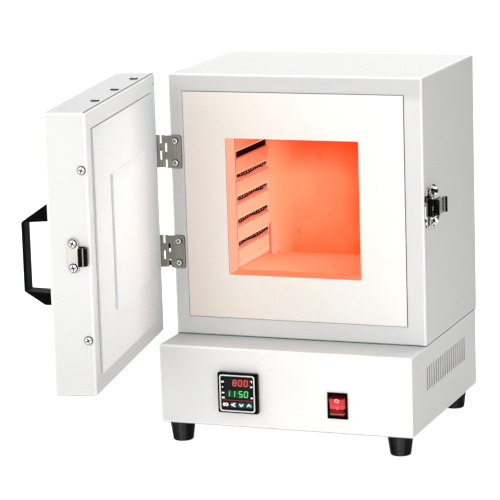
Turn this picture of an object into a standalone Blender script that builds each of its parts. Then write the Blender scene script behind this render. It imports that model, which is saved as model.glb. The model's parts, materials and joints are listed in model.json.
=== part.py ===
"""A bench-top pottery kiln: a fibre-lined chamber with a side-hung door, on a control cabinet.

World frame: the origin is the centre of the cabinet's underside, the front faces -Y, +Z is up.
The door and its fittings are modelled closed and hang on an empty at the hinge pin, which opens it.
"""
import math

import bmesh
import bpy
from mathutils import Vector

MM = 0.001
GAP = 0.3 * MM  # between neighbouring pieces
SHEET = 1.2 * MM  # cabinet steel
CUT = 5 * MM  # how far a cutter reaches past what it cuts

# Control cabinet
BASE_W, BASE_D, BASE_H = 310 * MM, 265 * MM, 94 * MM
FRONT = -BASE_D / 2
BACK = BASE_D / 2
FOOT_H, FOOT_TOP_R, FOOT_TIP_R = 26 * MM, 15 * MM, 12.1 * MM
FOOT_X, FRONT_FOOT_INSET, BACK_FOOT_INSET = (-137.7 * MM, 132.1 * MM), 25 * MM, 20 * MM
FLANGE = 45 * MM  # the shell's turned-in strips that carry the feet
VENT_COUNT, VENT_PITCH, VENT_W = 18, 9 * MM, 4 * MM
VENT_START, VENT_LOW, VENT_HIGH = 58 * MM, 42 * MM, 70 * MM

# Kiln body
BODY_SETBACK = 58.5 * MM
BODY_D, BODY_H = 211 * MM, 311.5 * MM
BODY_FRONT = FRONT + BODY_SETBACK
BODY_BACK = BODY_FRONT + BODY_D
BODY_LOW = BASE_H + GAP
BODY_HIGH = BODY_LOW + BODY_H
HALF_W = BASE_W / 2
BOARD_X, BOARD_Z = (-137.1 * MM, 132.5 * MM), (116.7 * MM, 385.0 * MM)
BOARD_GAP, BOARD_PROUD, BOARD_T = 0.8 * MM, 1.0 * MM, 31 * MM
CHAMBER_X, CHAMBER_Z = (-85.4 * MM, 78.0 * MM), (168.7 * MM, 331.1 * MM)
CHAMBER_D = 140 * MM
MUFFLE_T = 25 * MM
BOARD_REAR = BODY_FRONT - BOARD_PROUD + BOARD_T
MUFFLE_FRONT = BOARD_REAR + GAP
CHAMBER_REAR = BODY_FRONT + CHAMBER_D
WOOL_REAR = BODY_BACK - 16 * MM

# Heating elements
ROWS, ROW_PITCH, TOP_ROW = 5, 27 * MM, 136.5 * MM
GROOVE_H, GROOVE_DEPTH = 8 * MM, 8 * MM
GROOVE_END = CHAMBER_REAR - 5 * MM
COIL_R, WIRE_R, COIL_PITCH, COIL_POINTS = 2.9 * MM, 0.7 * MM, 11 * MM, 6
LINK_H = 4 * MM

# Thermocouple
PROBE_X, PROBE_Y, PROBE_R = -78.75 * MM, BODY_FRONT + 131 * MM, 4.5 * MM
PROBE_LOW, PROBE_HIGH = 62 * MM, CHAMBER_Z[0] + 38.3 * MM
PROBE_HOLE_R = 5.1 * MM
WIRE_HOLE = (90 * MM, 60 * MM, 12 * MM)  # x, y, radius of the wiring hole under the body
INLET_X, INLET_Z = (80 * MM, 108 * MM), (26 * MM, 47 * MM)  # the mains inlet's cutout

# Controls
PANEL_X, PANEL_Z, PANEL_W, PANEL_H = -54.8 * MM, 42.3 * MM, 49.2 * MM, 47.8 * MM
PANEL_PROUD, PANEL_BODY_W, PANEL_DEPTH = 8 * MM, 44.4 * MM, 72 * MM
KEY_W, KEY_H, KEY_PITCH, KEY_DROP = 7.8 * MM, 6 * MM, 9.6 * MM, 13.6 * MM
KEY_PROUD = 0.6 * MM
SWITCH_X, SWITCH_Z = 65.5 * MM, 33.5 * MM
BEZEL_W, BEZEL_H, BEZEL_PROUD = 24.8 * MM, 31.3 * MM, 2 * MM
ROCKER_W, ROCKER_SHIFT = 17 * MM, Vector((-0.7 * MM, 0, 0))
ROCKER_TILT = math.radians(8)

# Door, closed
PIN_X, PIN_Y, PIN_R = -164.3 * MM, BODY_FRONT + 2 * MM, 1 * MM
DOOR_OPEN = math.radians(80.6)
DOOR_X = (-162.66 * MM, 155.34 * MM)
DOOR_Z = (97.3 * MM, 406.2 * MM)
DOOR_INNER = PIN_Y - 7.58 * MM
DOOR_T, DOOR_BORDER = 46.5 * MM, 20 * MM
DOOR_OUTER = DOOR_INNER - DOOR_T
DOOR_MID_Z = sum(DOOR_Z) / 2
DOOR_BOARD_PROUD, PLUG_PROUD, DOOR_BOARD_T = 2.5 * MM, 3 * MM, 20 * MM
PLUG_W, PLUG_H, PLUG_X = 153 * MM, 152 * MM, -7.16 * MM
HANDLE_Z, HANDLE_OUT, HANDLE_W, HANDLE_INSET = (-58 * MM, 52.4 * MM), 34 * MM, 20 * MM, 27 * MM
FINGER_Z, GRIP_T = (-44.3 * MM, 34.6 * MM), 4 * MM

# Hinges
HINGE_Z = (313.1 * MM, 193.4 * MM)
LEAF_H, LEAF_T, LEAF_CORNER = 39 * MM, 1.4 * MM, 3 * MM
LEAF_REACH, LEAF_NOTCH = -141 * MM, -158.6 * MM
BARREL_R, PIN_HOLE_R = 2.1 * MM, 1.3 * MM
KNUCKLES, KNUCKLE_GAP = 4, 0.7 * MM
HINGE_SCREW_X, HINGE_SCREW_DZ, HINGE_SCREW_R = -148.0 * MM, 13 * MM, 4.1 * MM
SCREW_R, EDGE_SCREW_R = 3.4 * MM, 4.8 * MM

# Latch on the body's right side and its keeper on the door's edge
LATCH_Z = 256 * MM
LATCH_PIN_X, LATCH_PIN_Y = 161.8 * MM, BODY_FRONT + 6.6 * MM
CLAW_PIN_X, CLAW_PIN_Y = 169.2 * MM, BODY_FRONT + 8 * MM
LATCH_W, LATCH_T, LATCH_ROLL = 20 * MM, 1.2 * MM, 4.8 * MM
LEVER_END, CLAW_END = BODY_FRONT + 28 * MM, BODY_FRONT + 33 * MM
LATCH_BASE_Y, LATCH_BASE_R, LATCH_BASE_Z = BODY_FRONT + 15 * MM, 13 * MM, (-13 * MM, 8 * MM)
LATCH_SCREW_DZ = (16.4 * MM, -18.5 * MM)
EAR_FRONT, EAR_BACK, EAR_OUT = BODY_FRONT + 2.6 * MM, BODY_FRONT + 26 * MM, 4.5 * MM
KEEPER_Z, KEEPER_DZ, KEEPER_SCREW_R = 252.2 * MM, 13.2 * MM, 5 * MM
KEEPER_W, HOOK_W, HOOK_H = 12.2 * MM, 11.6 * MM, 19.8 * MM
KEEPER_Y, HOOK_NEAR = DOOR_INNER - 19.4 * MM, DOOR_INNER - 2.2 * MM

PIN = Vector((PIN_X, PIN_Y, 0))


def clear_scene():
    for obj in list(bpy.data.objects):
        bpy.data.objects.remove(obj, do_unlink=True)


def collection(name):
    made = bpy.data.collections.new(name)
    bpy.context.scene.collection.children.link(made)
    return made


def material(name, colour, roughness, metallic=0.0):
    made = bpy.data.materials.new(name)
    made.use_nodes = True
    shader = made.node_tree.nodes["Principled BSDF"]
    shader.inputs["Base Color"].default_value = (*colour, 1)
    shader.inputs["Roughness"].default_value = roughness
    shader.inputs["Metallic"].default_value = metallic
    return made


clear_scene()
KILN = collection("pottery_kiln")
CUTTERS = collection("cutters")

WHITE_STEEL = material("white_painted_steel", (0.80, 0.80, 0.78), 0.4)
FIBRE = material("ceramic_fibre_board", (0.86, 0.83, 0.76), 0.95)
HOT_FIBRE = material("glowing_fibre", (1.0, 0.25, 0.10), 0.95)
WOOL = material("ceramic_wool", (0.9, 0.9, 0.87), 1.0)
HEATER = material("heater_alloy", (0.12, 0.08, 0.07), 0.6, 0.8)
CERAMIC = material("ceramic_sheath", (0.9, 0.6, 0.45), 0.6)
RUBBER = material("black_rubber", (0.02, 0.02, 0.02), 0.8)
BLACK = material("black_plastic", (0.025, 0.025, 0.027), 0.45)
STAINLESS = material("stainless_steel", (0.55, 0.53, 0.50), 0.35, 1.0)
CHROME = material("chromed_steel", (0.75, 0.75, 0.75), 0.1, 1.0)
RED = material("red_rocker", (0.8, 0.02, 0.02), 0.25)
DISPLAY = material("display_window", (0.01, 0.02, 0.02), 0.15)
KEY_TEAL = material("teal_key", (0.03, 0.25, 0.27), 0.5)
KEY_MAROON = material("maroon_key", (0.20, 0.01, 0.05), 0.5)
TERMINAL = material("pale_nylon", (0.8, 0.8, 0.74), 0.5)


def axis_empty(name, at):
    """An empty on a joint's axis, which carries the pieces that move about it."""
    made = bpy.data.objects.new(name, None)
    KILN.objects.link(made)
    made.location = at
    return made


DOOR_AXIS = axis_empty("door_axis", PIN)
LEVER_AXIS = axis_empty("lever_axis", (LATCH_PIN_X, LATCH_PIN_Y, LATCH_Z))
CLAW_AXIS = axis_empty("claw_axis", (CLAW_PIN_X, CLAW_PIN_Y, LATCH_Z))
ROCKER_AXIS = axis_empty("rocker_axis", (SWITCH_X, FRONT + 6.5 * MM, SWITCH_Z))


def add(name, mesh, centre, mat, parent):
    """Places a mesh as a part, or as a cutter where it has no material."""
    obj = bpy.data.objects.new(name, mesh)
    if mat:
        KILN.objects.link(obj)
        if not mesh.materials:
            mesh.materials.append(mat)
    else:
        CUTTERS.objects.link(obj)
        obj.hide_render = True
        obj.display_type = "WIRE"
    obj.parent = parent
    obj.location = Vector(centre) - (parent.location if parent else Vector())
    return obj


def mesh_from(bm, name):
    mesh = bpy.data.meshes.new(name)
    bm.to_mesh(mesh)
    bm.free()
    return mesh


def bevel(obj, width, segments=2):
    made = obj.modifiers.new("soft_edges", "BEVEL")
    made.width = width
    made.segments = segments
    made.limit_method = "ANGLE"
    return obj


def box(name, xs, ys, zs, mat=None, parent=None):
    """A box between two corners, given as its extent along each axis."""
    low, high = Vector((xs[0], ys[0], zs[0])), Vector((xs[1], ys[1], zs[1]))
    bm = bmesh.new()
    bmesh.ops.create_cube(bm, size=1)
    bmesh.ops.scale(bm, vec=high - low, verts=bm.verts)
    return add(name, mesh_from(bm, name), (low + high) / 2, mat, parent)


def rod(name, centre, radius, length, mat=None, parent=None, sides=20):
    """An upright cylinder."""
    bm = bmesh.new()
    bmesh.ops.create_cone(bm, cap_ends=True, segments=sides, radius1=radius, radius2=radius, depth=length)
    mesh = mesh_from(bm, name)
    smooth(mesh)
    return add(name, mesh, centre, mat, parent)


def smooth(mesh):
    mesh.shade_smooth()
    mesh.set_sharp_from_angle(angle=math.radians(40))


def turned(name, profile, centre, mat, parent=None, sides=20):
    """A solid turned about its Z axis from (radius, height) points that run top to bottom."""
    mesh = bpy.data.meshes.new(name)
    points = [(r, 0, z) for r, z in profile]
    mesh.from_pydata(points, [(i, i + 1) for i in range(len(points) - 1)], [])
    obj = add(name, mesh, centre, mat, parent)
    screw = obj.modifiers.new("turn", "SCREW")
    screw.steps = screw.render_steps = sides
    screw.use_merge_vertices = True
    screw.merge_threshold = 0.00001
    return obj


def boolean(obj, other, operation):
    made = obj.modifiers.new(other.name, "BOOLEAN")
    made.operation = operation
    made.object = other
    return obj


def cut(obj, *cutters):
    for cutter in cutters:
        boolean(obj, cutter, "DIFFERENCE")
    return obj


def fuse(obj, *others):
    for other in others:
        boolean(obj, other, "UNION")
    return obj


def solid_mesh(obj):
    """The object's shape as a plain mesh, once every modifier or curve setting is applied."""
    bpy.context.view_layer.update()
    shaped = obj.evaluated_get(bpy.context.evaluated_depsgraph_get())
    mesh = bpy.data.meshes.new_from_object(shaped)
    bm = bmesh.new()
    bm.from_mesh(mesh)
    bmesh.ops.remove_doubles(bm, verts=bm.verts, dist=0.000001)
    bm.to_mesh(mesh)
    bm.free()
    return mesh


def outline(name, rings, thickness, centre, mat=None, parent=None, turn=(0, 0, 0)):
    """A flat shape bounded by rings of (x, y) points, thickened along its own Z."""
    curve = bpy.data.curves.new(name, "CURVE")
    curve.dimensions = "2D"
    curve.fill_mode = "BOTH"
    curve.extrude = thickness / 2
    for ring in rings:
        spline = curve.splines.new("POLY")
        spline.points.add(len(ring) - 1)
        spline.use_cyclic_u = True
        for point, (x, y) in zip(spline.points, ring):
            point.co = (x, y, 0, 1)
    flat = bpy.data.objects.new(name, curve)
    bpy.context.scene.collection.objects.link(flat)
    mesh = solid_mesh(flat)
    mesh.materials.clear()
    bpy.data.objects.remove(flat, do_unlink=True)
    bpy.data.curves.remove(curve)
    obj = add(name, mesh, centre, mat, parent)
    obj.rotation_euler = turn
    return obj


def arc(centre, radius, start, end, count):
    """Points along an arc, from one angle in degrees to another."""
    angles = [math.radians(start + (end - start) * i / (count - 1)) for i in range(count)]
    return [(centre[0] + radius * math.cos(a), centre[1] + radius * math.sin(a)) for a in angles]


def grow(extent, by):
    return (extent[0] - by, extent[1] + by)


# ---------------------------------------------------------------- control cabinet


def base_shell():
    shell = box("base_shell", (-HALF_W, HALF_W), (FRONT, BACK), (0, BASE_H), WHITE_STEEL)
    bevel(shell, 1.5 * MM)
    inside = (-HALF_W + SHEET, HALF_W - SHEET)
    cut(shell, box("base_hollow", inside, (FRONT + SHEET, BACK - SHEET), (SHEET, BASE_H - SHEET)),
        box("base_opening", inside, (FRONT + FLANGE, BACK - FLANGE), (-CUT, 2 * SHEET)))
    first = FRONT + VENT_START
    vents = box("vent_cutter", grow((-HALF_W, HALF_W), CUT), (first, first + VENT_W), (VENT_LOW, VENT_HIGH))
    row = vents.modifiers.new("row", "ARRAY")
    row.count = VENT_COUNT
    row.use_relative_offset = False
    row.use_constant_offset = True
    row.constant_offset_displace = (0, VENT_PITCH, 0)
    half_panel, wall = PANEL_BODY_W / 2 + GAP, (FRONT - CUT, FRONT + CUT)
    cut(shell, vents)
    cut(shell, box("panel_cutout", (PANEL_X - half_panel, PANEL_X + half_panel), wall,
                   (PANEL_Z - half_panel, PANEL_Z + half_panel)))
    cut(shell, box("switch_cutout", grow((SWITCH_X, SWITCH_X), 11.3 * MM), wall,
                   grow((SWITCH_Z, SWITCH_Z), 14.3 * MM)))
    cut(shell, box("inlet_cutout", INLET_X, (BACK - CUT, BACK + CUT), INLET_Z))
    cut(shell, PROBE_HOLE, WIRING_HOLE)


def base_plate():
    """The removable floor between the shell's front and back flanges."""
    half = HALF_W - SHEET - GAP
    box("base_plate", (-half, half), (FRONT + FLANGE + GAP, BACK - FLANGE - GAP), (0, SHEET), WHITE_STEEL)


def feet():
    profile = [(0, -GAP), (FOOT_TOP_R, -GAP), (FOOT_TOP_R, -4 * MM), (FOOT_TIP_R, 1 * MM - FOOT_H),
               (FOOT_TIP_R - 1 * MM, -FOOT_H), (5 * MM, -FOOT_H), (5 * MM, 8 * MM - FOOT_H),
               (0, 8 * MM - FOOT_H)]
    for side, x in zip(("left", "right"), FOOT_X):
        for end, y in (("front", FRONT + FRONT_FOOT_INSET), ("back", BACK - BACK_FOOT_INSET)):
            turned(f"foot_{end}_{side}", profile, (x, y, 0), RUBBER)


def controller():
    bezel = box("controller_case", grow((PANEL_X, PANEL_X), PANEL_W / 2), (FRONT - PANEL_PROUD, FRONT - GAP),
                grow((PANEL_Z, PANEL_Z), PANEL_H / 2), BLACK)
    bevel(bezel, 1.5 * MM)
    fuse(bezel, box("controller_body", grow((PANEL_X, PANEL_X), PANEL_BODY_W / 2),
                    (FRONT - 2 * MM, FRONT + PANEL_DEPTH), grow((PANEL_Z, PANEL_Z), PANEL_BODY_W / 2)))
    face_front = FRONT - PANEL_PROUD
    recess, depth = 22 * MM, 1.5 * MM
    cut(bezel, box("face_recess", grow((PANEL_X, PANEL_X), recess), (face_front - CUT, face_front + depth),
                   grow((PANEL_Z, PANEL_Z), recess)))
    face = box("controller_face", grow((PANEL_X, PANEL_X), recess - GAP),
               (face_front + 0.3 * MM, face_front + depth - GAP),
               grow((PANEL_Z, PANEL_Z), recess - GAP), DISPLAY)
    names = ("key_set", "key_left", "key_down", "key_up")
    for place, name in enumerate(names):
        middle = PANEL_X + (place - 1.5) * KEY_PITCH
        xs, zs = grow((middle, middle), KEY_W / 2), grow((PANEL_Z - KEY_DROP, PANEL_Z - KEY_DROP), KEY_H / 2)
        well_x, well_z = grow(xs, GAP), grow(zs, GAP)
        cut(bezel, box(f"{name}_well", well_x, (face_front - CUT, face_front + 3.2 * MM), well_z))
        cut(face, box(f"{name}_window", well_x, (face_front - CUT, face_front + CUT), well_z))
        box(name, xs, (face_front - KEY_PROUD + 0.3 * MM, face_front + 1.6 * MM), zs,
            KEY_MAROON if name == "key_set" else KEY_TEAL)


def switch():
    front = FRONT - BEZEL_PROUD
    bezel = box("rocker_frame", grow((SWITCH_X, SWITCH_X), BEZEL_W / 2), (front, FRONT - GAP),
                grow((SWITCH_Z, SWITCH_Z), BEZEL_H / 2), BLACK)
    bevel(bezel, 1 * MM)
    fuse(bezel, box("rocker_body", grow((SWITCH_X, SWITCH_X), 11 * MM), (FRONT - 1 * MM, FRONT + 22 * MM),
                    grow((SWITCH_Z, SWITCH_Z), 14 * MM)))
    cut(bezel, box("rocker_well", grow((SWITCH_X, SWITCH_X), 9.6 * MM), (front - CUT, FRONT + 14.5 * MM),
                   grow((SWITCH_Z, SWITCH_Z), 12.6 * MM)))
    shape = [(-8.3, 0), (-9.8, -10.9), (-2, -11.6), (5, -6), (5, 6), (-2, 11.6), (-9.8, 10.9)]
    rocker = outline("rocker_button", [[(y * MM, z * MM) for y, z in shape]], ROCKER_W,
                     ROCKER_AXIS.location + ROCKER_SHIFT, RED, ROCKER_AXIS, (math.pi / 2, 0, math.pi / 2))
    bevel(rocker, 0.5 * MM, 1)
    ROCKER_AXIS.rotation_euler = (ROCKER_TILT, 0, 0)


def cabinet_contents():
    relay = box("solid_state_relay", (20 * MM, 65 * MM), (20 * MM, 80 * MM), (SHEET + GAP, 26 * MM), BLACK)
    bevel(relay, 1 * MM)
    terminals = box("terminal_block", (-40 * MM, 15 * MM), (85 * MM, 107 * MM), (SHEET + GAP, 20 * MM),
                    TERMINAL)
    cut(terminals, box("terminal_slot", (-45 * MM, 20 * MM), (93 * MM, 99 * MM), (13 * MM, 25 * MM)))
    inlet = box("power_inlet", grow(INLET_X, 4 * MM), (BACK + GAP, BACK + 3 * MM), grow(INLET_Z, 4 * MM),
                BLACK)
    bevel(inlet, 1 * MM)
    fuse(inlet, box("inlet_body", grow(INLET_X, -GAP), (BACK - 25 * MM, BACK + 2 * MM), grow(INLET_Z, -GAP)))
    cut(inlet, box("inlet_socket", grow(INLET_X, -2 * MM), (BACK - 18 * MM, BACK + CUT),
                   grow(INLET_Z, -2.5 * MM)))
    mid_x, mid_z = sum(INLET_X) / 2, sum(INLET_Z) / 2
    for name, dx, dz in (("live", -7, -2), ("neutral", 7, -2), ("earth", 0, 3)):
        x, z = mid_x + dx * MM, mid_z + dz * MM
        fuse(inlet, box(f"inlet_{name}", grow((x, x), 1 * MM), (BACK - 20 * MM, BACK - 3 * MM),
                        grow((z, z), 2 * MM)))


# ---------------------------------------------------------------- kiln body


def body_shell():
    shell = box("body_shell", (-HALF_W, HALF_W), (BODY_FRONT, BODY_BACK), (BODY_LOW, BODY_HIGH), WHITE_STEEL)
    bevel(shell, 1.5 * MM)
    inside = (-HALF_W + SHEET, HALF_W - SHEET)
    cut(shell, box("body_hollow", inside, (BODY_FRONT + SHEET, BODY_BACK + CUT),
                   (BODY_LOW + SHEET, BODY_HIGH - SHEET)))
    cut(shell, box("body_window", grow(BOARD_X, BOARD_GAP), (BODY_FRONT - CUT, BODY_FRONT + CUT),
                   grow(BOARD_Z, BOARD_GAP)))
    cut(shell, PROBE_HOLE, WIRING_HOLE)


def back_cover():
    half, lift = HALF_W - SHEET - GAP, SHEET + GAP
    cover = box("back_cover", (-half, half), (BODY_BACK - 2 * SHEET, BODY_BACK - SHEET),
                (BODY_LOW + lift, BODY_HIGH - lift), WHITE_STEEL)
    slots = box("cover_slot_cutter", (-60 * MM, 60 * MM), (BODY_BACK - CUT, BODY_BACK + CUT),
                (BODY_LOW + 40 * MM, BODY_LOW + 44 * MM))
    rows = slots.modifiers.new("rows", "ARRAY")
    rows.count = 5
    rows.use_relative_offset = False
    rows.use_constant_offset = True
    rows.constant_offset_displace = (0, 0, 12 * MM)
    cut(cover, slots)


def front_board():
    board = box("front_board", BOARD_X, (BODY_FRONT - BOARD_PROUD, BOARD_REAR), BOARD_Z, FIBRE)
    cut(board, box("chamber_mouth", CHAMBER_X, (BODY_FRONT - CUT, BOARD_REAR + CUT), CHAMBER_Z))


def muffle():
    """The chamber's own floor, roof, back and grooved side walls."""
    outer_x = grow(CHAMBER_X, MUFFLE_T)
    rear = CHAMBER_REAR + MUFFLE_T
    wall_z = grow(CHAMBER_Z, -GAP)
    floor = box("muffle_floor", outer_x, (MUFFLE_FRONT, rear), (CHAMBER_Z[0] - MUFFLE_T, CHAMBER_Z[0]),
                HOT_FIBRE)
    cut(floor, PROBE_HOLE)
    box("muffle_roof", outer_x, (MUFFLE_FRONT, rear), (CHAMBER_Z[1], CHAMBER_Z[1] + MUFFLE_T), HOT_FIBRE)
    box("muffle_back", outer_x, (CHAMBER_REAR, rear), wall_z, HOT_FIBRE)
    for side, face, outward in (("left", CHAMBER_X[0], -1), ("right", CHAMBER_X[1], 1)):
        heater_wall(side, face, outward, wall_z)


def row_heights():
    return [CHAMBER_Z[0] + TOP_ROW - row * ROW_PITCH for row in range(ROWS)]


def heater_wall(side, face, outward, wall_z):
    """A side wall with a groove for each run of wire, and slots where the wire turns back."""
    outer = face + outward * MUFFLE_T
    wall = box(f"muffle_{side}", sorted((face, outer)), (MUFFLE_FRONT, CHAMBER_REAR - GAP), wall_z,
               HOT_FIBRE)
    inner_cut = face - outward * CUT
    groove_x = sorted((inner_cut, face + outward * GROOVE_DEPTH))
    channel_x = sorted((outer - outward * 8 * MM, outer + outward * CUT))
    through_x = sorted((inner_cut, outer + outward * CUT))
    heights = row_heights()
    for row, z in enumerate(heights):
        cut(wall, box(f"groove_{side}_{row}", groove_x, (MUFFLE_FRONT + 3 * MM, GROOVE_END),
                      grow((z, z), GROOVE_H / 2)))
    for row, z in enumerate(heights[:-1]):
        near = row % 2
        y = MUFFLE_FRONT + 8 * MM if near else GROOVE_END - 5 * MM
        ys = grow((y, y), 2 * MM)
        cut(wall, box(f"link_{side}_{row}_top", through_x, ys, grow((z, z), LINK_H / 2)))
        low = heights[row + 1]
        cut(wall, box(f"link_{side}_{row}_low", through_x, ys, grow((low, low), LINK_H / 2)))
        cut(wall, box(f"link_{side}_{row}", channel_x, grow(ys, 0.4 * MM), (low - LINK_H, z + LINK_H)))


def coil(side, face, outward):
    """One wire: a coiled run in each groove, joined behind the wall where it turns back."""
    middle = face + outward * (GROOVE_DEPTH / 2 + 0.2 * MM)
    hidden = face + outward * (MUFFLE_T - 4 * MM)
    near, far = MUFFLE_FRONT + 8 * MM, GROOVE_END - 5 * MM
    turns = round((far - near) / COIL_PITCH)
    count = turns * COIL_POINTS
    points = []
    for row, z in enumerate(row_heights()):
        start, end = (near, far) if row % 2 == 0 else (far, near)
        if row:
            points.append((hidden, start, z))
        points.append((middle, start, z))
        for i in range(1, count):
            angle = math.tau * i / COIL_POINTS
            y = start + (end - start) * i / count
            points.append((middle + COIL_R * math.sin(angle), y, z + COIL_R * math.cos(angle)))
        points.append((middle, end, z))
        if row < ROWS - 1:
            points.append((hidden, end, z))
    curve = bpy.data.curves.new(f"heating_coil_{side}", "CURVE")
    curve.dimensions = "3D"
    curve.bevel_depth = WIRE_R
    curve.bevel_resolution = 0
    curve.use_fill_caps = True
    spline = curve.splines.new("POLY")
    spline.points.add(len(points) - 1)
    for point, co in zip(spline.points, points):
        point.co = (*co, 1)
    curve.materials.append(HEATER)
    obj = bpy.data.objects.new(curve.name, curve)
    KILN.objects.link(obj)


def insulation():
    wool = box("insulation", grow((-HALF_W, HALF_W), -SHEET - GAP), (BODY_FRONT + SHEET + GAP, WOOL_REAR),
               (BODY_LOW + SHEET + GAP, BODY_HIGH - SHEET - GAP), WOOL)
    cut(wool, box("board_pocket", grow(BOARD_X, GAP), (BODY_FRONT - CUT, MUFFLE_FRONT), grow(BOARD_Z, GAP)))
    outer = MUFFLE_T + GAP
    cut(wool, box("muffle_pocket", grow(CHAMBER_X, outer), (MUFFLE_FRONT - CUT, CHAMBER_REAR + outer),
                  grow(CHAMBER_Z, outer)))
    cut(wool, PROBE_HOLE)


def thermocouple():
    tip = PROBE_HIGH - 3 * MM
    profile = [(0, PROBE_HIGH), (PROBE_R * 0.7, PROBE_HIGH - 0.9 * MM), (PROBE_R, tip), (PROBE_R, PROBE_LOW),
               (0, PROBE_LOW)]
    turned("thermocouple_sheath", profile, (PROBE_X, PROBE_Y, 0), CERAMIC, sides=16)
    head = box("thermocouple_head", grow((PROBE_X, PROBE_X), 11 * MM), grow((PROBE_Y, PROBE_Y), 11 * MM),
               (PROBE_LOW - 16 * MM, PROBE_LOW - GAP), TERMINAL)
    bevel(head, 1 * MM)


# ---------------------------------------------------------------- door


def door_shell():
    shell = box("door_shell", DOOR_X, (DOOR_OUTER, DOOR_INNER), DOOR_Z, WHITE_STEEL, DOOR_AXIS)
    bevel(shell, 1.5 * MM)
    cut(shell, box("door_hollow", grow(DOOR_X, -SHEET), (DOOR_OUTER + SHEET, DOOR_INNER - SHEET),
                   grow(DOOR_Z, -SHEET), None, DOOR_AXIS))
    cut(shell, box("door_window", grow(DOOR_X, -DOOR_BORDER), (DOOR_INNER - CUT, DOOR_INNER + CUT),
                   grow(DOOR_Z, -DOOR_BORDER), None, DOOR_AXIS))


def door_lining():
    window = DOOR_BORDER + BOARD_GAP
    proud = DOOR_INNER + DOOR_BOARD_PROUD
    board_rear = proud - DOOR_BOARD_T
    board = box("door_board", grow(DOOR_X, -window), (board_rear, proud), grow(DOOR_Z, -window), FIBRE,
                DOOR_AXIS)
    mid_z = sum(CHAMBER_Z) / 2
    plug = box("door_plug", grow((PLUG_X, PLUG_X), PLUG_W / 2), (proud - CUT, proud + PLUG_PROUD),
               grow((mid_z, mid_z), PLUG_H / 2), None, DOOR_AXIS)
    fuse(board, bevel(plug, 1.5 * MM))
    clear = SHEET + GAP
    wool = box("door_insulation", grow(DOOR_X, -clear), (DOOR_OUTER + clear, DOOR_INNER - clear),
               grow(DOOR_Z, -clear), WOOL, DOOR_AXIS)
    cut(wool, box("door_board_pocket", grow(DOOR_X, GAP - window), (board_rear - GAP, DOOR_INNER + CUT),
                  grow(DOOR_Z, GAP - window), None, DOOR_AXIS))


def door_handle():
    """A flat strap grip with wedge feet, drawn as seen along the door's face from the door's middle."""
    low, high = HANDLE_Z
    gap_low, gap_high = FINGER_Z
    corner, reach = 2 * MM, HANDLE_OUT - GRIP_T
    outer = [(0, high), (0, low), (11 * MM, low), (HANDLE_OUT - corner, gap_low),
             (HANDLE_OUT, gap_low + corner), (HANDLE_OUT, gap_high - corner),
             (HANDLE_OUT - corner, gap_high), (6 * MM, high)]
    inner = [(-CUT, gap_high), (reach, gap_high - corner), (reach, gap_low + corner), (-CUT, gap_low)]
    side_on = (math.pi / 2, 0, -math.pi / 2)
    centre = (DOOR_X[1] - HANDLE_INSET, DOOR_OUTER - GAP, DOOR_MID_Z)
    handle = outline("door_handle", [outer], HANDLE_W, centre, BLACK, DOOR_AXIS, side_on)
    cut(handle, outline("finger_gap", [inner], HANDLE_W + 2 * CUT, centre, None, DOOR_AXIS, side_on))
    bevel(handle, 1 * MM)


def hinges():
    for place, z in zip(("upper", "lower"), HINGE_Z):
        hinge(place, z)


def hinge(place, z):
    """Two stamped leaves whose knuckles roll alternately round one pin, behind the leaves' faces."""
    rod(f"hinge_pin_{place}", (PIN_X, PIN_Y, z), PIN_R, LEAF_H, STAINLESS, sides=14)
    front, rear, half = BODY_FRONT - GAP - LEAF_T, BODY_FRONT - GAP, LEAF_H / 2
    corner_x, corner_z = LEAF_REACH - LEAF_CORNER, half - LEAF_CORNER
    plate = ([(LEAF_NOTCH, half), (LEAF_NOTCH, -half)] + arc((corner_x, -corner_z), LEAF_CORNER, -90, 0, 5)
             + arc((corner_x, corner_z), LEAF_CORNER, 0, 90, 5))
    flat = outline(f"hinge_body_leaf_{place}", [plate], LEAF_T, (0, (front + rear) / 2, z), STAINLESS,
                   None, (math.pi / 2, 0, 0))
    inner = DOOR_X[0] - GAP
    outer, plate_end, lap = inner - LEAF_T, front - GAP, 0.5 * MM
    turned_leaf = box(f"hinge_door_leaf_{place}", (outer, inner), (DOOR_INNER - 19 * MM, plate_end),
                      (z - half, z + half), STAINLESS, DOOR_AXIS)
    pin = (PIN_X, PIN_Y)
    body_roll = ([(LEAF_NOTCH + lap, rear), (LEAF_NOTCH + lap, front), (PIN_X + 0.5 * MM, front),
                  (PIN_X - 1.3 * MM, front + 1 * MM)] + arc(pin, BARREL_R, 180, 0, 9)
                 + [(PIN_X + BARREL_R, rear)])
    door_roll = ([(outer, plate_end - lap), (inner, plate_end - lap), (inner, plate_end)]
                 + arc(pin, BARREL_R, -25, 205, 11) + [(outer, plate_end)])
    step = LEAF_H / KNUCKLES
    for knuckle in range(KNUCKLES):
        middle = z + half - step * (knuckle + 0.5)
        leaf, parent, roll = (turned_leaf, DOOR_AXIS, door_roll) if knuckle % 2 else (flat, None, body_roll)
        fuse(leaf, outline(f"knuckle_{place}_{knuckle}", [roll], step - KNUCKLE_GAP, (0, 0, middle), None,
                           parent))
    cut(flat, rod(f"body_pin_hole_{place}", (*pin, z), PIN_HOLE_R, LEAF_H + 2 * CUT, sides=14))
    cut(turned_leaf, rod(f"door_pin_hole_{place}", (*pin, z), PIN_HOLE_R, LEAF_H + 2 * CUT, None,
                         DOOR_AXIS, 14))


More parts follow.
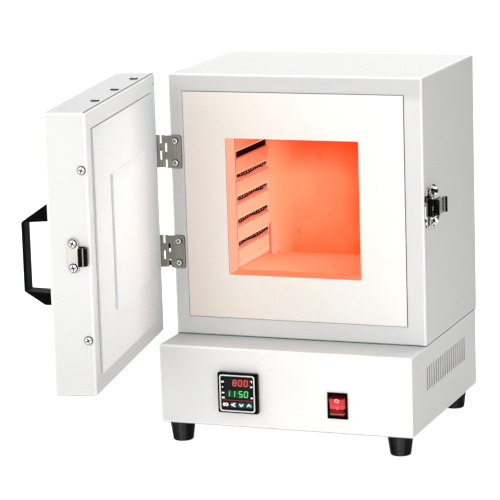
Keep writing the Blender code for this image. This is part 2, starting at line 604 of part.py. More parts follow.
def keeper():
    """A plate with rounded ends on the door's edge, and a lip that rolls back over itself for the claw."""
    surface, t, roll = DOOR_X[1] + GAP, LATCH_T, HOOK_W / 2
    roll_y, roll_x = HOOK_NEAR - roll, DOOR_X[1] + GAP + roll
    tail = roll_y - 3.5 * MM
    lip = ([(surface + t, KEEPER_Y), (surface, KEEPER_Y)] + arc((roll_x, roll_y), roll, 180, 0, 13)
           + [(roll_x + roll, tail), (roll_x + roll - t, tail)]
           + arc((roll_x, roll_y), roll - t, 0, 180, 13))
    hook = outline("keeper", [lip], HOOK_H, (0, 0, KEEPER_Z), CHROME, DOOR_AXIS)
    half = KEEPER_W / 2
    plate = arc((0, KEEPER_DZ), half, 0, 180, 13) + arc((0, -KEEPER_DZ), half, 180, 360, 13)
    fuse(hook, outline("keeper_plate", [plate], t, (surface + t / 2, KEEPER_Y, KEEPER_Z), None, DOOR_AXIS,
                       (math.pi / 2, 0, math.pi / 2)))


# ---------------------------------------------------------------- latch


def latch():
    """A draw latch: a base with two ears, a lever on the ears' pin, and a claw on the lever's pin."""
    surface, t = HALF_W + GAP, LATCH_T
    low, high = LATCH_BASE_Z
    plate = (arc((0, high), LATCH_BASE_R, 0, 180, 13) + arc((0, low), LATCH_BASE_R, 180, 360, 13))
    base = outline("latch_base", [plate], t, (surface + t / 2, LATCH_BASE_Y, LATCH_Z), CHROME, None,
                   (math.pi / 2, 0, math.pi / 2))
    inside, tip = surface + t / 2, LATCH_PIN_X + 3 * MM
    ear = [(inside, EAR_FRONT), (tip, EAR_FRONT), (tip, LATCH_PIN_Y + 4 * MM), (surface + EAR_OUT, EAR_BACK),
           (inside, EAR_BACK)]
    ear_dz = LATCH_W / 2 + 1 * MM + t / 2
    for name, side in (("top", 1), ("bottom", -1)):
        fuse(base, outline(f"ear_{name}", [ear], t, (0, 0, LATCH_Z + side * ear_dz)))
    cut(base, rod("ear_hole", (LATCH_PIN_X, LATCH_PIN_Y, LATCH_Z), 1.4 * MM, 40 * MM, sides=12))
    rod("latch_pin", (LATCH_PIN_X, LATCH_PIN_Y, LATCH_Z), 1.1 * MM, 26.4 * MM, CHROME, sides=12)
    lever(t)
    claw(t)


def lever(t):
    """A rolled eye on the base's pin, then a flat grip that runs back along the body."""
    back = LEVER_END - LATCH_PIN_Y
    grip_x = LATCH_ROLL - t
    flap = [(grip_x, 0), (grip_x, back), (grip_x + t, back), (grip_x + t, 0)]
    eye = rod("latch_lever", LEVER_AXIS.location, LATCH_ROLL, LATCH_W, CHROME, LEVER_AXIS, 24)
    fuse(eye, outline("lever_grip", [flap], LATCH_W, LEVER_AXIS.location, None, LEVER_AXIS))
    pin = CLAW_AXIS.location
    lug = box("lever_lug", (LATCH_PIN_X + grip_x - 1 * MM, pin.x + 2 * MM), grow((pin.y, pin.y), 2 * MM),
              grow((pin.z, pin.z), 6 * MM), None, LEVER_AXIS)
    fuse(eye, lug)
    cut(eye, rod("eye_hole", LEVER_AXIS.location, 1.4 * MM, 40 * MM, None, LEVER_AXIS, 12),
        rod("lug_hole", pin, 1.3 * MM, 40 * MM, None, LEVER_AXIS, 12))
    rod("claw_pin", pin, 1.0 * MM, LATCH_W - 2.4 * MM, CHROME, LEVER_AXIS, 12)


def claw(t):
    """A flat tongue that straddles the lever's lug, with a hooked tip; here it lies folded back."""
    length, eye, hook = CLAW_END - CLAW_PIN_Y, 2.1 * MM, 4 * MM
    tongue = [(-t / 2, 0), (t / 2, 0), (t / 2, length - 2 * t), (hook, length - t), (hook, length),
              (0, length), (-t / 2, length - t)]
    obj = outline("latch_claw", [tongue], LATCH_W - 2 * MM, CLAW_AXIS.location, CHROME, CLAW_AXIS)
    centre = CLAW_AXIS.location
    fuse(obj, rod("claw_eye", centre, eye, LATCH_W - 2 * MM, None, CLAW_AXIS, 14))
    cut(obj, box("claw_notch", grow((centre.x, centre.x), 4 * MM), (centre.y - 4 * MM, centre.y + 4.4 * MM),
                 grow((centre.z, centre.z), 6.4 * MM), None, CLAW_AXIS))
    cut(obj, rod("claw_hole", centre, 1.3 * MM, 40 * MM, None, CLAW_AXIS, 12))


# ---------------------------------------------------------------- screws


def screw_mesh(r):
    """A cross-recessed pan head of radius r that sits on a surface at its own z = 0."""
    h = 0.36 * r + 0.3 * MM
    profile = [(0, h), (r * 0.45, h * 0.97), (r * 0.85, h * 0.7), (r, h * 0.3), (r, 0), (0, 0)]
    head = turned("screw_master", profile, (0, 0, 0), STAINLESS, sides=16)
    arm, slot = r * 0.55, r * 0.11
    depth = (h * 0.45, h + CUT)
    cut(head, box("recess_a", (-arm, arm), (-slot, slot), depth))
    cut(head, box("recess_b", (-slot, slot), (-arm, arm), depth))
    mesh = solid_mesh(head)
    mesh.name = "pan_head_screw"
    bpy.data.objects.remove(head, do_unlink=True)
    smooth(mesh)
    return mesh


def screws():
    small, wide = screw_mesh(SCREW_R), screw_mesh(HINGE_SCREW_R)
    edge_head, keeper_head = screw_mesh(EDGE_SCREW_R), screw_mesh(KEEPER_SCREW_R)
    facing_front, facing_right = (math.pi / 2, 0, 0), (0, math.pi / 2, 0)

    def put(name, mesh, at, turn, parent=None):
        add(name, mesh, at, STAINLESS, parent).rotation_euler = turn

    for place, z in zip(("upper", "lower"), HINGE_Z):
        for end, side in (("top", 1), ("bottom", -1)):
            at = (HINGE_SCREW_X, BODY_FRONT - LEAF_T - 2 * GAP, z + side * HINGE_SCREW_DZ)
            put(f"hinge_screw_{place}_{end}", wide, at, facing_front)
    for end, dz in zip(("top", "bottom"), LATCH_SCREW_DZ):
        at = (HALF_W + LATCH_T + 2 * GAP, LATCH_BASE_Y, LATCH_Z + dz)
        put(f"latch_screw_{end}", small, at, facing_right)
    edge = DOOR_X[1] + GAP
    for end, side in (("top", 1), ("bottom", -1)):
        at = (edge + LATCH_T + GAP, KEEPER_Y, KEEPER_Z + side * KEEPER_DZ)
        put(f"keeper_screw_{end}", keeper_head, at, facing_right, DOOR_AXIS)
    for name, height in (("upper", 247 * MM), ("lower", 62 * MM)):
        at = (edge, DOOR_INNER - 6.4 * MM, DOOR_Z[0] + height)
        put(f"door_edge_screw_{name}", edge_head, at, facing_right, DOOR_AXIS)
    for name, inset in (("free", 85 * MM), ("middle", 172 * MM), ("hinge", 262 * MM)):
        at = (DOOR_X[1] - inset, DOOR_INNER - 11 * MM, DOOR_Z[1] + GAP)
        put(f"door_top_screw_{name}", edge_head, at, (0, 0, 0), DOOR_AXIS)


PROBE_HOLE = rod("probe_hole", (PROBE_X, PROBE_Y, (PROBE_LOW + CHAMBER_Z[0]) / 2), PROBE_HOLE_R,
                 CHAMBER_Z[0] - PROBE_LOW + 2 * CUT, sides=16)
WIRING_HOLE = rod("wiring_hole", (WIRE_HOLE[0], WIRE_HOLE[1], BASE_H), WIRE_HOLE[2], 4 * CUT)

base_shell()
base_plate()
feet()
controller()
switch()
cabinet_contents()
body_shell()
back_cover()
front_board()
muffle()
coil("left", CHAMBER_X[0], -1)
coil("right", CHAMBER_X[1], 1)
insulation()
thermocouple()
door_shell()
door_lining()
door_handle()
hinges()
keeper()
latch()
screws()
DOOR_AXIS.rotation_euler = (0, 0, -DOOR_OPEN)
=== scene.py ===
"""Looks of a bench-top pottery kiln: materials, small fittings, studio and camera round its frame."""
import json
import math

import bmesh
import bpy
from mathutils import Matrix, Vector


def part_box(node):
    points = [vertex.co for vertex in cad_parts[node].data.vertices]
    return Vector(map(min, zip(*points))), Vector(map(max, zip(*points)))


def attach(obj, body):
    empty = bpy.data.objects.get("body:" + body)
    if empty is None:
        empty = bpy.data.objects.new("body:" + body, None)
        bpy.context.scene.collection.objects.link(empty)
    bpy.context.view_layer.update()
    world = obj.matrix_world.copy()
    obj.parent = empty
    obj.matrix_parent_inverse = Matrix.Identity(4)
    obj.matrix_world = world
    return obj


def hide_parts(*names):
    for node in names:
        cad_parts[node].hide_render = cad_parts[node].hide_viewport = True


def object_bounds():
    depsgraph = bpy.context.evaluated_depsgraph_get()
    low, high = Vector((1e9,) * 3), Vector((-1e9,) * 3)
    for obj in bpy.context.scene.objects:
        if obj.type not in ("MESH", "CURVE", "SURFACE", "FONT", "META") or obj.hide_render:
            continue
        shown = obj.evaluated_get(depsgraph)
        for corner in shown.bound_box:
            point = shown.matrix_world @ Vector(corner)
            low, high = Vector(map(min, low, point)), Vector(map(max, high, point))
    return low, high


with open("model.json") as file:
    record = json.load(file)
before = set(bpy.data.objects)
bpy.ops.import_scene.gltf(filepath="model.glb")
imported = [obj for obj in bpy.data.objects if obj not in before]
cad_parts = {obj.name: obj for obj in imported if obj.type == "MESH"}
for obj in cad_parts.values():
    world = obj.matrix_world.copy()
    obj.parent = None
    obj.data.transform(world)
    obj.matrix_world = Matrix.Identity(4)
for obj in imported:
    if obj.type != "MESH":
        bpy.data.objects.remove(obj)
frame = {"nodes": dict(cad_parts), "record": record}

MM = 0.001
CAD_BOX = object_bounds()
NODES = frame["nodes"]
SCENE = bpy.context.scene


# ---------------- camera and studio


def make_camera():
    """A long lens from the front right, a little above the kiln and slightly rolled."""
    data = bpy.data.cameras.new("camera")
    data.sensor_fit = "HORIZONTAL"
    data.sensor_width = 36
    data.lens = 187.12
    data.clip_end = 50
    camera = bpy.data.objects.new("camera", data)
    place = Vector((1.0114, -2.8624, 0.7938))
    right = Vector((0.93535, 0.35236, -0.03099))
    up = Vector((-0.04046, 0.19359, 0.98025))
    turn = Matrix((right, up, right.cross(up))).transposed()
    camera.matrix_world = Matrix.Translation(place) @ turn.to_4x4()
    SCENE.collection.objects.link(camera)
    SCENE.camera = camera


KILN = (0, -0.1, 0.2)
# name, place, point it faces, side, watts and spread in degrees
LIGHTS = (
    ("front", (0.1, -3.2, 0.8), KILN, 1.6, 29.5, 180),
    ("front_left", (-2.2, -2.6, 1.3), KILN, 1.6, 21.5, 180),
    ("top", (0, 0.2, 2.6), KILN, 1.6, 22.5, 180),
    ("top_back", (0, 1.6, 2.4), KILN, 1.6, 28.5, 180),
    ("near_right", (1.1, -1.0, 0.6), KILN, 0.5, 2.2, 180),
    ("door_fill", (1.1, -0.2, 0.35), (-0.14, -0.23, 0.27), 0.1, 0.032, 17),
)
SKY = 0.41  # strength of the white world


def softbox(name, at, target, side, watts, spread):
    data = bpy.data.lights.new(name, "AREA")
    data.shape = "SQUARE"
    data.size = side
    data.energy = watts
    data.spread = math.radians(spread)
    light = bpy.data.objects.new(name, data)
    light.location = at
    light.rotation_euler = (Vector(target) - Vector(at)).to_track_quat("-Z", "Y").to_euler()
    light.visible_camera = False
    SCENE.collection.objects.link(light)


def make_studio():
    world = bpy.data.worlds.new("studio")
    SCENE.world = world
    world.use_nodes = True
    sky = world.node_tree.nodes["Background"]
    sky.inputs["Color"].default_value = (1, 1, 1, 1)
    sky.inputs["Strength"].default_value = SKY
    for light in LIGHTS:
        softbox(*light)
    SCENE.view_settings.view_transform = "Standard"


# ---------------- material building blocks


class Shader:
    """One material's node tree, with short calls for the nodes that the looks share."""

    def __init__(self, name):
        self.material = bpy.data.materials.new(name)
        self.material.use_nodes = True
        self.tree = self.material.node_tree
        self.bsdf = self.tree.nodes["Principled BSDF"]
        self.coords = self.node("ShaderNodeTexCoord").outputs["Object"]

    def node(self, kind, inputs=(), **settings):
        """A new node, with its inputs linked or set and its settings made."""
        made = self.tree.nodes.new(kind)
        for key, value in settings.items():
            setattr(made, key, value)
        for key, value in dict(inputs).items():
            self.feed(made.inputs[key], value)
        return made

    def link(self, source, target):
        self.tree.links.new(source, target)

    def feed(self, socket, value):
        if isinstance(value, bpy.types.NodeSocket):
            self.link(value, socket)
        else:
            socket.default_value = value

    def set(self, **values):
        for key, value in values.items():
            self.feed(self.bsdf.inputs[key.replace("_", " ")], value)

    def source(self, name):
        """The socket that already feeds one of the surface's inputs."""
        return self.bsdf.inputs[name].links[0].from_socket

    def repaint(self, where, colour):
        """Covers the base colour where a mask is 1."""
        self.set(Base_Color=self.mix(where, self.source("Base Color"), colour))

    def dim(self, where):
        """Takes the glint away where a mask is 1."""
        self.set(Emission_Strength=self.times(self.source("Emission Strength"), self.inverse(where)))

    def noise(self, scale, detail=3.0, rough=0.55, stretch=None):
        source = self.coords
        if stretch:
            mapping = self.node("ShaderNodeMapping", {"Scale": stretch, "Vector": self.coords})
            source = mapping.outputs["Vector"]
        inputs = {"Scale": scale, "Detail": detail, "Roughness": rough, "Vector": source}
        return self.node("ShaderNodeTexNoise", inputs).outputs["Fac"]

    def span(self, value, low, high, to_low=0.0, to_high=1.0):
        """Goes from one number to the other as the value goes from low to high, and stays there."""
        inputs = {"Value": value, "From Min": low, "From Max": high, "To Min": to_low, "To Max": to_high}
        return self.node("ShaderNodeMapRange", inputs).outputs["Result"]

    def ramp(self, value, base, start, end, to_low=0.0, to_high=1.0):
        """A span whose ends are given in millimetres from a base coordinate."""
        return self.span(value, base + start * MM, base + end * MM, to_low, to_high)

    def vary(self, noise, low=0.0, high=1.0):
        """A noise's usual range spread from one number to another."""
        return self.span(noise, 0.3, 0.7, low, high)

    def math(self, operation, a, b=0.0):
        return self.node("ShaderNodeMath", {0: a, 1: b}, operation=operation).outputs["Value"]

    def times(self, a, b):
        return self.math("MULTIPLY", a, b)

    def plus(self, a, b):
        return self.math("ADD", a, b)

    def most(self, a, b):
        return self.math("MAXIMUM", a, b)

    def minus(self, a, b):
        return self.math("SUBTRACT", a, b)

    def inverse(self, a):
        return self.minus(1.0, a)

    def away(self, value, middle=0.0):
        """A coordinate's distance from a middle, on either side."""
        return self.math("ABSOLUTE", self.minus(value, middle))

    def dot(self, a, b):
        return self.node("ShaderNodeVectorMath", {0: a, 1: b}, operation="DOT_PRODUCT").outputs["Value"]

    def mix(self, factor, a, b):
        """Colour a where the factor is 0 and colour b where it is 1."""
        return self.node("ShaderNodeMix", {0: factor, 6: a, 7: b}, data_type="RGBA").outputs[2]

    def axes(self, source=None):
        made = self.node("ShaderNodeSeparateXYZ", {"Vector": source or self.coords})
        return made.outputs["X"], made.outputs["Y"], made.outputs["Z"]

    def outward(self):
        """The surface's own normal, in its object's axes."""
        return self.node("ShaderNodeTexCoord").outputs["Normal"]

    def normal(self):
        return self.axes(self.outward())

    def edge(self, radius, softness=0.25):
        """1 along convex and concave edges, 0 on the flats."""
        rounded = self.node("ShaderNodeBevel", {"Radius": radius}, samples=6).outputs["Normal"]
        flat = self.node("ShaderNodeNewGeometry").outputs["Normal"]
        return self.span(self.dot(rounded, flat), 1.0, 1.0 - softness)

    def crevice(self, reach, open_at=0.85):
        """1 deep in gaps and inside corners, 0 on open surfaces."""
        made = self.node("ShaderNodeAmbientOcclusion", {"Distance": reach}, samples=6)
        return self.span(made.outputs["AO"], open_at, open_at - 0.55)

    def band(self, value, middle, half, soft):
        """1 within a band of a coordinate, fading over the soft width outside it."""
        return self.span(self.away(value, middle), half + soft, half)

    def bump(self, height, distance, strength=1.0):
        inputs = {"Distance": distance, "Strength": strength, "Height": height}
        self.set(Normal=self.node("ShaderNodeBump", inputs).outputs["Normal"])


def rgb(red, green, blue):
    """Linear colour from 0-255 screen values."""
    def linear(v):
        v /= 255
        return v / 12.92 if v <= 0.04045 else ((v + 0.055) / 1.055) ** 2.4
    return (linear(red), linear(green), linear(blue), 1)


def grey(tone):
    return rgb(tone, tone, tone)


WHITE = grey(255)
# the grey of the painted shade in the paint's gaps and inside corners
GAP_SHADE = rgb(112, 112, 110)
GAP_REACH = 3 * MM  # how far the painted shade comes out of the paint's gaps
FOLD_HIGHLIGHT = (3 * MM, 0.08)  # radius and softness of the painted highlight along the paint's folds
# strength of the painted glow along the folds, which stands for a glint
FOLD_GLINT = 0.16
VENT_LOW = 42 * MM  # the lower and upper ends of the vents in the cabinet's flanks
VENT_HIGH = 70 * MM
VENT_MIDDLE = (VENT_LOW + VENT_HIGH) / 2


def painted_steel(name, tone, keep=None):
    """White powder coat: a fine orange peel, with a painted highlight glowing along the folds and painted
    shade in the gaps.
    """
    s = Shader(name)
    broad = s.noise(6, 2)
    colour = s.mix(broad, rgb(tone - 2, tone - 2, tone - 3), rgb(tone + 2, tone + 2, tone + 1))
    # Painted highlight: the folds turn white and glow a little, where keep allows.
    fold_highlight = s.edge(*FOLD_HIGHLIGHT)
    if keep:
        fold_highlight = s.times(fold_highlight, keep(s))
    colour = s.mix(fold_highlight, colour, WHITE)
    # Painted shade: gaps and inside corners darkened toward grey.
    s.set(Base_Color=s.mix(s.crevice(GAP_REACH), colour, GAP_SHADE))
    s.set(Emission_Color=WHITE, Emission_Strength=s.times(fold_highlight, FOLD_GLINT))
    s.set(Roughness=s.vary(s.noise(40, 4), 0.54, 0.64), Specular_IOR_Level=0.2)
    s.bump(s.noise(900, 2, 0.4), 0.05 * MM, 0.3)
    return s


def outer_folds(s):
    """1 near the body's outside corners, 0 round the opening that holds the front board."""
    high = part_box("body_shell")[1]
    x, _, z = s.axes()
    flanks = s.ramp(s.away(x), high[0], -6, -5)
    above = s.ramp(z, high[2], -6, -5)
    return s.most(flanks, above)


def clear_of_vents(s):
    """0 round the vents in the cabinet's flanks, 1 elsewhere."""
    low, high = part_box("base_shell")
    x, y, z = s.axes()
    flanks = s.ramp(s.away(x), high[0], -3, -2)
    inner = s.times(s.ramp(y, low[1], 8, 10), s.ramp(y, high[1], -8, -10))
    vents = s.times(inner, s.times(flanks, s.band(z, VENT_MIDDLE, 18 * MM, 1 * MM)))
    return s.inverse(vents)


def shade_sides(s, low, high, near, far):
    """Paints shade on the faces that look left and right, from one tone in front to another behind, with
    painted shade in their gaps.
    """
    side = s.span(s.away(s.normal()[0]), 0.5, 0.9)
    depth = s.span(s.axes()[1], low[1] + 30 * MM, high[1])
    tone = s.mix(depth, rgb(near, near, near - 1), rgb(far, far, far - 1))
    s.repaint(side, s.mix(s.crevice(GAP_REACH), tone, GAP_SHADE))


def body_steel():
    """The body's powder coat, with painted shade greying the front over the opening and beside the hinges,
    and painted shade near black inside the gap.
    """
    s = painted_steel("body_powder_coat", 227, outer_folds)
    x, _, z = s.axes()
    low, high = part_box("body_shell")
    # Painted shade: the front greyer over the opening and, as the open door's shadow, beside the hinges.
    front = s.span(s.normal()[1], -0.5, -0.9)
    left = s.times(s.ramp(x, low[0], 26, 12), s.ramp(z, low[2], 0, 120))
    above = s.ramp(z, high[2], -30, -20)
    fold_highlight = s.times(s.edge(*FOLD_HIGHLIGHT), outer_folds(s))
    s.repaint(s.times(front, s.most(left, above)), s.mix(fold_highlight, rgb(212, 212, 211), WHITE))
    shade_sides(s, low, high, 220, 211)
    # Painted shade: the faces inside the gap round the front board, near black.
    nx, _, nz = s.normal()
    sill = s.times(s.span(nz, 0.5, 0.9), s.ramp(z, high[2], -8, -12))
    jamb = s.times(s.span(nx, 0.5, 0.9), s.span(x, 100 * MM, 50 * MM))
    s.repaint(s.most(sill, jamb), rgb(36, 36, 35))
    return s.material


def cabinet_steel():
    """The cabinet's powder coat outside, with painted shade on its sides, on its ledge and inside its walls
    and vents, and painted light on its front.
    """
    s = painted_steel("cabinet_powder_coat", 230, clear_of_vents)
    low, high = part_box("base_shell")
    shade_sides(s, low, high, 224, 218)
    x, y, z = s.axes()

    # Painted shade on the ledge in front of the body, broken up by noise and darker toward the body.
    ledge = s.times(s.ramp(z, high[2], -0.9, -0.6), s.ramp(y, low[1], 2.5, 8))
    smoke = s.vary(s.noise(60, 4, 0.6, (0.15, 1, 1)), 0.7, 1.0)
    ledge_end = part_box("body_shell")[0][1]
    nearness = s.ramp(y, ledge_end, -45, -5, 0.25, 1.0)
    s.repaint(s.times(ledge, s.times(smoke, nearness)), rgb(197, 204, 205))

    front = s.ramp(y, low[1], 1, 0.5)
    # Painted light: the front paler toward the right, with a soft noise.
    cloud = s.mix(s.vary(s.noise(7, 3)), rgb(248, 247, 246), rgb(253, 252, 251))
    s.repaint(s.times(s.span(x, -120 * MM, 0.0), front), cloud)
    # Painted shade: a grey line along the bottom edge of the front, without the glow.
    bottom_edge_shade = s.times(front, s.ramp(z, low[2], 1.3, 0.8))
    s.repaint(bottom_edge_shade, grey(150))
    s.dim(bottom_edge_shade)

    # Painted shade inside the walls and vents, darker toward the bottom.
    within = s.times(s.ramp(s.away(x), high[0], -0.4, -0.7), s.band(z, VENT_MIDDLE, 13.9 * MM, 0.2 * MM))
    within = s.times(within, s.ramp(y, low[1], 2, 3))
    within = s.times(within, s.ramp(y, high[1], -2, -3))
    s.repaint(within, s.mix(s.ramp(z, VENT_LOW, 0, 12), grey(92), grey(178)))
    return s.material


def door_steel():
    """The door's powder coat: painted shade greying its inner frame toward the hinge and the bottom, its top
    and its lower part, a painted dark line along its bottom edge, and the hairline seam between its pan and
    its inner frame along the top.
    """
    s = painted_steel("door_powder_coat", 230)
    low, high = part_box("door_shell")
    z = s.axes()[2]
    # Painted shade: the inner frame greyer toward the hinge and toward the bottom.
    border = s.mix(s.ramp(s.dot(s.coords, DOOR_ALONG), HINGE_END, 0, 260),
                   rgb(232, 237, 238), rgb(250, 252, 252))
    border = s.mix(s.ramp(z, low[2], 24, 16), border, rgb(226, 229, 229))
    s.repaint(s.times(s.span(s.dot(s.outward(), DOOR_ACROSS), 0.8, 0.95), 0.8), border)
    # Painted shade on the faces that look up, then greyer toward the bottom.
    s.repaint(s.times(s.span(s.normal()[2], 0.5, 0.9), 0.8), grey(216))
    s.repaint(s.ramp(z, low[2], 130, 20, 0.0, 0.6), rgb(214, 214, 213))
    # Painted shade: a dark line along the door's bottom edge.
    bottom_edge_shade = s.ramp(z, low[2], 1.1, 0.7)
    s.repaint(bottom_edge_shade, grey(104))
    seam = s.times(s.band(s.dot(s.coords, DOOR_ACROSS), DOOR_FACE - 1.5 * MM, 0.6 * MM, 0.3 * MM),
                   s.ramp(z, high[2], -0.9, -0.5))
    s.repaint(seam, rgb(20, 20, 22))
    s.dim(s.most(seam, bottom_edge_shade))
    return s.material


def fibre_board(name, warm, pale, speck):
    """Ceramic fibre board: matted fibres, soft clouds and small pits."""
    s = Shader(name)
    fibres = s.noise(260, 6, 0.7, (1, 1, 0.35))
    cloud = s.noise(9, 4, 0.6)
    colour = s.mix(s.span(cloud, 0.35, 0.65), warm, pale)
    colour = s.mix(s.span(fibres, 0.5, 0.8, 0.0, 0.3), colour, speck)
    s.set(Roughness=0.95, Specular_IOR_Level=0.1)
    s.set(Base_Color=colour)
    pits = s.noise(620, 3, 0.6)
    s.bump(s.plus(fibres, s.times(pits, 0.5)), 0.3 * MM, 0.4)
    return s


def shade_door_board(s):
    """Painted shade on the walls that face the free edge, toward the hinges and on faces that look up, and
    painted shade in the gap round it.
    """
    s.repaint(s.span(s.dot(s.outward(), DOOR_ALONG), 0.3, 0.9), rgb(206, 208, 208))
    start = HINGE_END + 22 * MM
    s.repaint(s.ramp(s.dot(s.coords, DOOR_ALONG), start, 120, 0), rgb(210, 218, 221))
    upper = s.span(s.normal()[2], 0.3, 0.9)
    s.repaint(upper, rgb(222, 225, 226))
    deep = s.ramp(s.dot(s.coords, DOOR_ACROSS), DOOR_FACE, 0.8, 0.2)
    s.repaint(deep, s.mix(upper, rgb(196, 196, 194), rgb(120, 120, 118)))


def front_board_material():
    """Painted shade darker and warmer on the hinge side, painted light paler on the right, painted shade in
    the gap round it, and a glow in its mouth that is painted paler on faces that look up.
    """
    s = fibre_board("front_fibre_board", rgb(247, 240, 233), rgb(250, 246, 239), rgb(230, 224, 214))
    x, y, z = s.axes()
    low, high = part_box("front_board")
    # Painted light: paler right of the chamber's middle.
    s.repaint(s.span(x, CHAMBER_MID.x, high[0]), rgb(249, 248, 244))
    # Painted shade: darker and warmer toward the hinge side.
    hinge_side_shade = s.mix(s.noise(5, 3, 0.6, (1, 1, 0.6)), rgb(236, 227, 217), rgb(247, 237, 227))
    s.repaint(s.span(x, CHAMBER_MID.x + 20 * MM, low[0] + 10 * MM), hinge_side_shade)
    behind = s.ramp(y, low[1], 0.2, 0.7)
    # Painted shade: the board's edges behind its face, in the gap, near black.
    rims = []
    for value, axis in ((x, 0), (z, 2)):
        half = (high[axis] - low[axis]) / 2
        rims.append(s.ramp(s.away(value, low[axis] + half), half, -2, -1))
    s.repaint(s.times(behind, s.most(*rims)), rgb(46, 43, 40))
    _, ny, nz = s.normal()
    inside = s.times(s.span(ny, -0.7, -0.3), behind)
    mouth = s.times(s.band(x, CHAMBER_MID.x, CHAMBER_HALF.x, 8 * MM),
                    s.band(z, CHAMBER_MID.z, CHAMBER_HALF.z, 8 * MM))
    glow = s.times(inside, mouth)
    # The glow is painted paler on faces that look up, as painted light.
    jamb = s.mix(s.span(nz, 0.3, 0.7), rgb(250, 190, 160), rgb(254, 142, 100))
    jamb = s.mix(s.ramp(y, high[1], -0.9, -0.4), jamb, rgb(150, 70, 50))
    jamb = s.mix(s.ramp(y, low[1], 2.6, 1.2), jamb, rgb(205, 110, 84))
    s.set(Emission_Color=jamb, Emission_Strength=s.times(glow, 0.8))
    s.repaint(glow, rgb(150, 80, 60))
    return s.material


def glow_material(name, near, far, centre, reach, strength=0.9):
    """Fibre board glowing with heat: one colour near a point of the wall, another far from it."""
    s = Shader(name)
    offset = s.node("ShaderNodeVectorMath", {0: s.coords, 1: centre}, operation="DISTANCE")
    wander = s.vary(s.noise(14, 3), -0.014, 0.014)
    distance = s.plus(offset.outputs["Value"], wander)
    heat = s.mix(s.span(distance, 0.015, reach), near, far)
    fine = s.noise(240, 5, 0.65)
    heat = s.mix(s.span(fine, 0.55, 0.75, 0.0, 0.16), heat, rgb(235, 85, 40))
    spots = s.span(s.noise(75, 2, 0.5), 0.70, 0.76, 0.0, 0.4)
    heat = s.mix(spots, heat, rgb(205, 60, 30))
    s.set(Base_Color=rgb(104, 30, 16), Roughness=0.95, Specular_IOR_Level=0.05)
    s.set(Emission_Color=heat, Emission_Strength=strength)
    s.bump(fine, 0.3 * MM, 0.5)
    return s


def back_wall_material():
    """Palest left of centre, deep orange along the top and the right."""
    s = glow_material("glowing_back", rgb(255, 156, 112), rgb(255, 98, 44),
                      (CHAMBER_LOW.x + 0.042, CHAMBER_HIGH.y, CHAMBER_MID.z + 0.002), 0.1, 0.95)
    x, _, z = s.axes()
    heat = s.source("Emission Color")
    top = s.span(z, CHAMBER_MID.z + 0.015, CHAMBER_HIGH.z - 0.012)
    right = s.span(x, CHAMBER_MID.x + 0.012, CHAMBER_HIGH.x - 0.006)
    low = s.span(z, CHAMBER_LOW.z + 0.012, CHAMBER_LOW.z + 0.04)
    right = s.times(right, s.plus(s.times(low, 0.3), 0.7))
    deep = s.minus(s.plus(top, right), s.times(top, right))
    left = s.span(x, CHAMBER_LOW.x, CHAMBER_LOW.x + 0.05)
    deep = s.times(deep, s.plus(s.times(left, 0.55), 0.45))
    heat = s.mix(deep, heat, rgb(255, 58, 10))
    beside = s.times(s.span(x, CHAMBER_LOW.x + 0.032, CHAMBER_LOW.x + 0.004),
                     s.span(z, CHAMBER_HIGH.z - 0.012, CHAMBER_MID.z, 0.15, 0.85))
    s.set(Emission_Color=s.mix(beside, heat, rgb(255, 178, 134)))
    return s.material


def heater_wall_material(side, face, outward):
    """Peach between the grooves, with painted shade inside them above a lower part and lip painted as lit
    pink, a painted shadow line below each groove, a painted highlight along each upper edge, and painted
    shade along the wall's front and bottom corners.
    """
    s = glow_material(f"glowing_wall_{side}", rgb(255, 196, 160), rgb(255, 172, 128),
                      (face, CHAMBER_LOW.y + 20 * MM, CHAMBER_LOW.z + 30 * MM), 0.2, 0.88)
    x, y, z = s.axes()
    heat = s.source("Emission Color")
    rear = s.times(s.span(y, CHAMBER_LOW.y, CHAMBER_HIGH.y, 0.45, 1.0),
                   s.span(z, CHAMBER_MID.z + 5 * MM, CHAMBER_HIGH.z - 20 * MM))
    heat = s.mix(rear, heat, rgb(255, 76, 26))
    # Painted shade: darker lines along the wall's front corner and its bottom corner.
    joint = s.times(s.ramp(y, CHAMBER_LOW.y, 1.8, 0.9),
                    s.span(z, CHAMBER_LOW.z, CHAMBER_HIGH.z, 0.35, 1.0))
    heat = s.mix(joint, heat, rgb(140, 60, 40))
    heat = s.mix(s.ramp(z, CHAMBER_LOW.z, 1.6, 0.6), heat, rgb(196, 90, 60))

    half = GROOVE_PITCH / 2
    down = s.minus(TOP_GROOVE, z)
    below = s.minus(s.math("MODULO", s.plus(down, half), GROOVE_PITCH), half)
    # A painted shadow line below each groove, then a painted highlight along each upper edge.
    heat = s.mix(s.times(s.band(below, 4.9 * MM, 0.3 * MM, 0.4 * MM), 0.8), heat, rgb(160, 46, 30))
    heat = s.mix(s.band(below, -4.7 * MM, 0.2 * MM, 0.3 * MM), heat, rgb(255, 226, 204))

    # Inside the grooves: painted shade above a ragged lower part painted as lit pink, and the faces that
    # look up painted lit; the top groove stays in shade.
    not_top = s.span(down, 12 * MM, 13 * MM)
    torn = s.plus(below, s.vary(s.noise(230, 4, 0.7), -2.6 * MM, 2.6 * MM))
    lower = s.times(s.span(torn, -0.3 * MM, 0.3 * MM), not_top)
    ragged = s.span(s.noise(160, 4, 0.7), 0.56, 0.62)
    groove = s.mix(s.times(lower, s.inverse(ragged)), rgb(40, 6, 5), rgb(255, 118, 98))
    lip = s.span(s.normal()[2], 0.4, 0.8)
    groove = s.mix(s.times(lip, not_top), groove, rgb(255, 124, 104))

    depth = s.times(s.minus(x, face), outward)
    in_groove = s.span(depth, 0.25 * MM, 0.9 * MM)
    s.set(Emission_Color=s.mix(in_groove, heat, groove))
    # Painted shade: the base colour is darker inside the grooves too.
    s.set(Base_Color=s.mix(in_groove, rgb(130, 60, 44), rgb(60, 20, 14)))
    return s.material


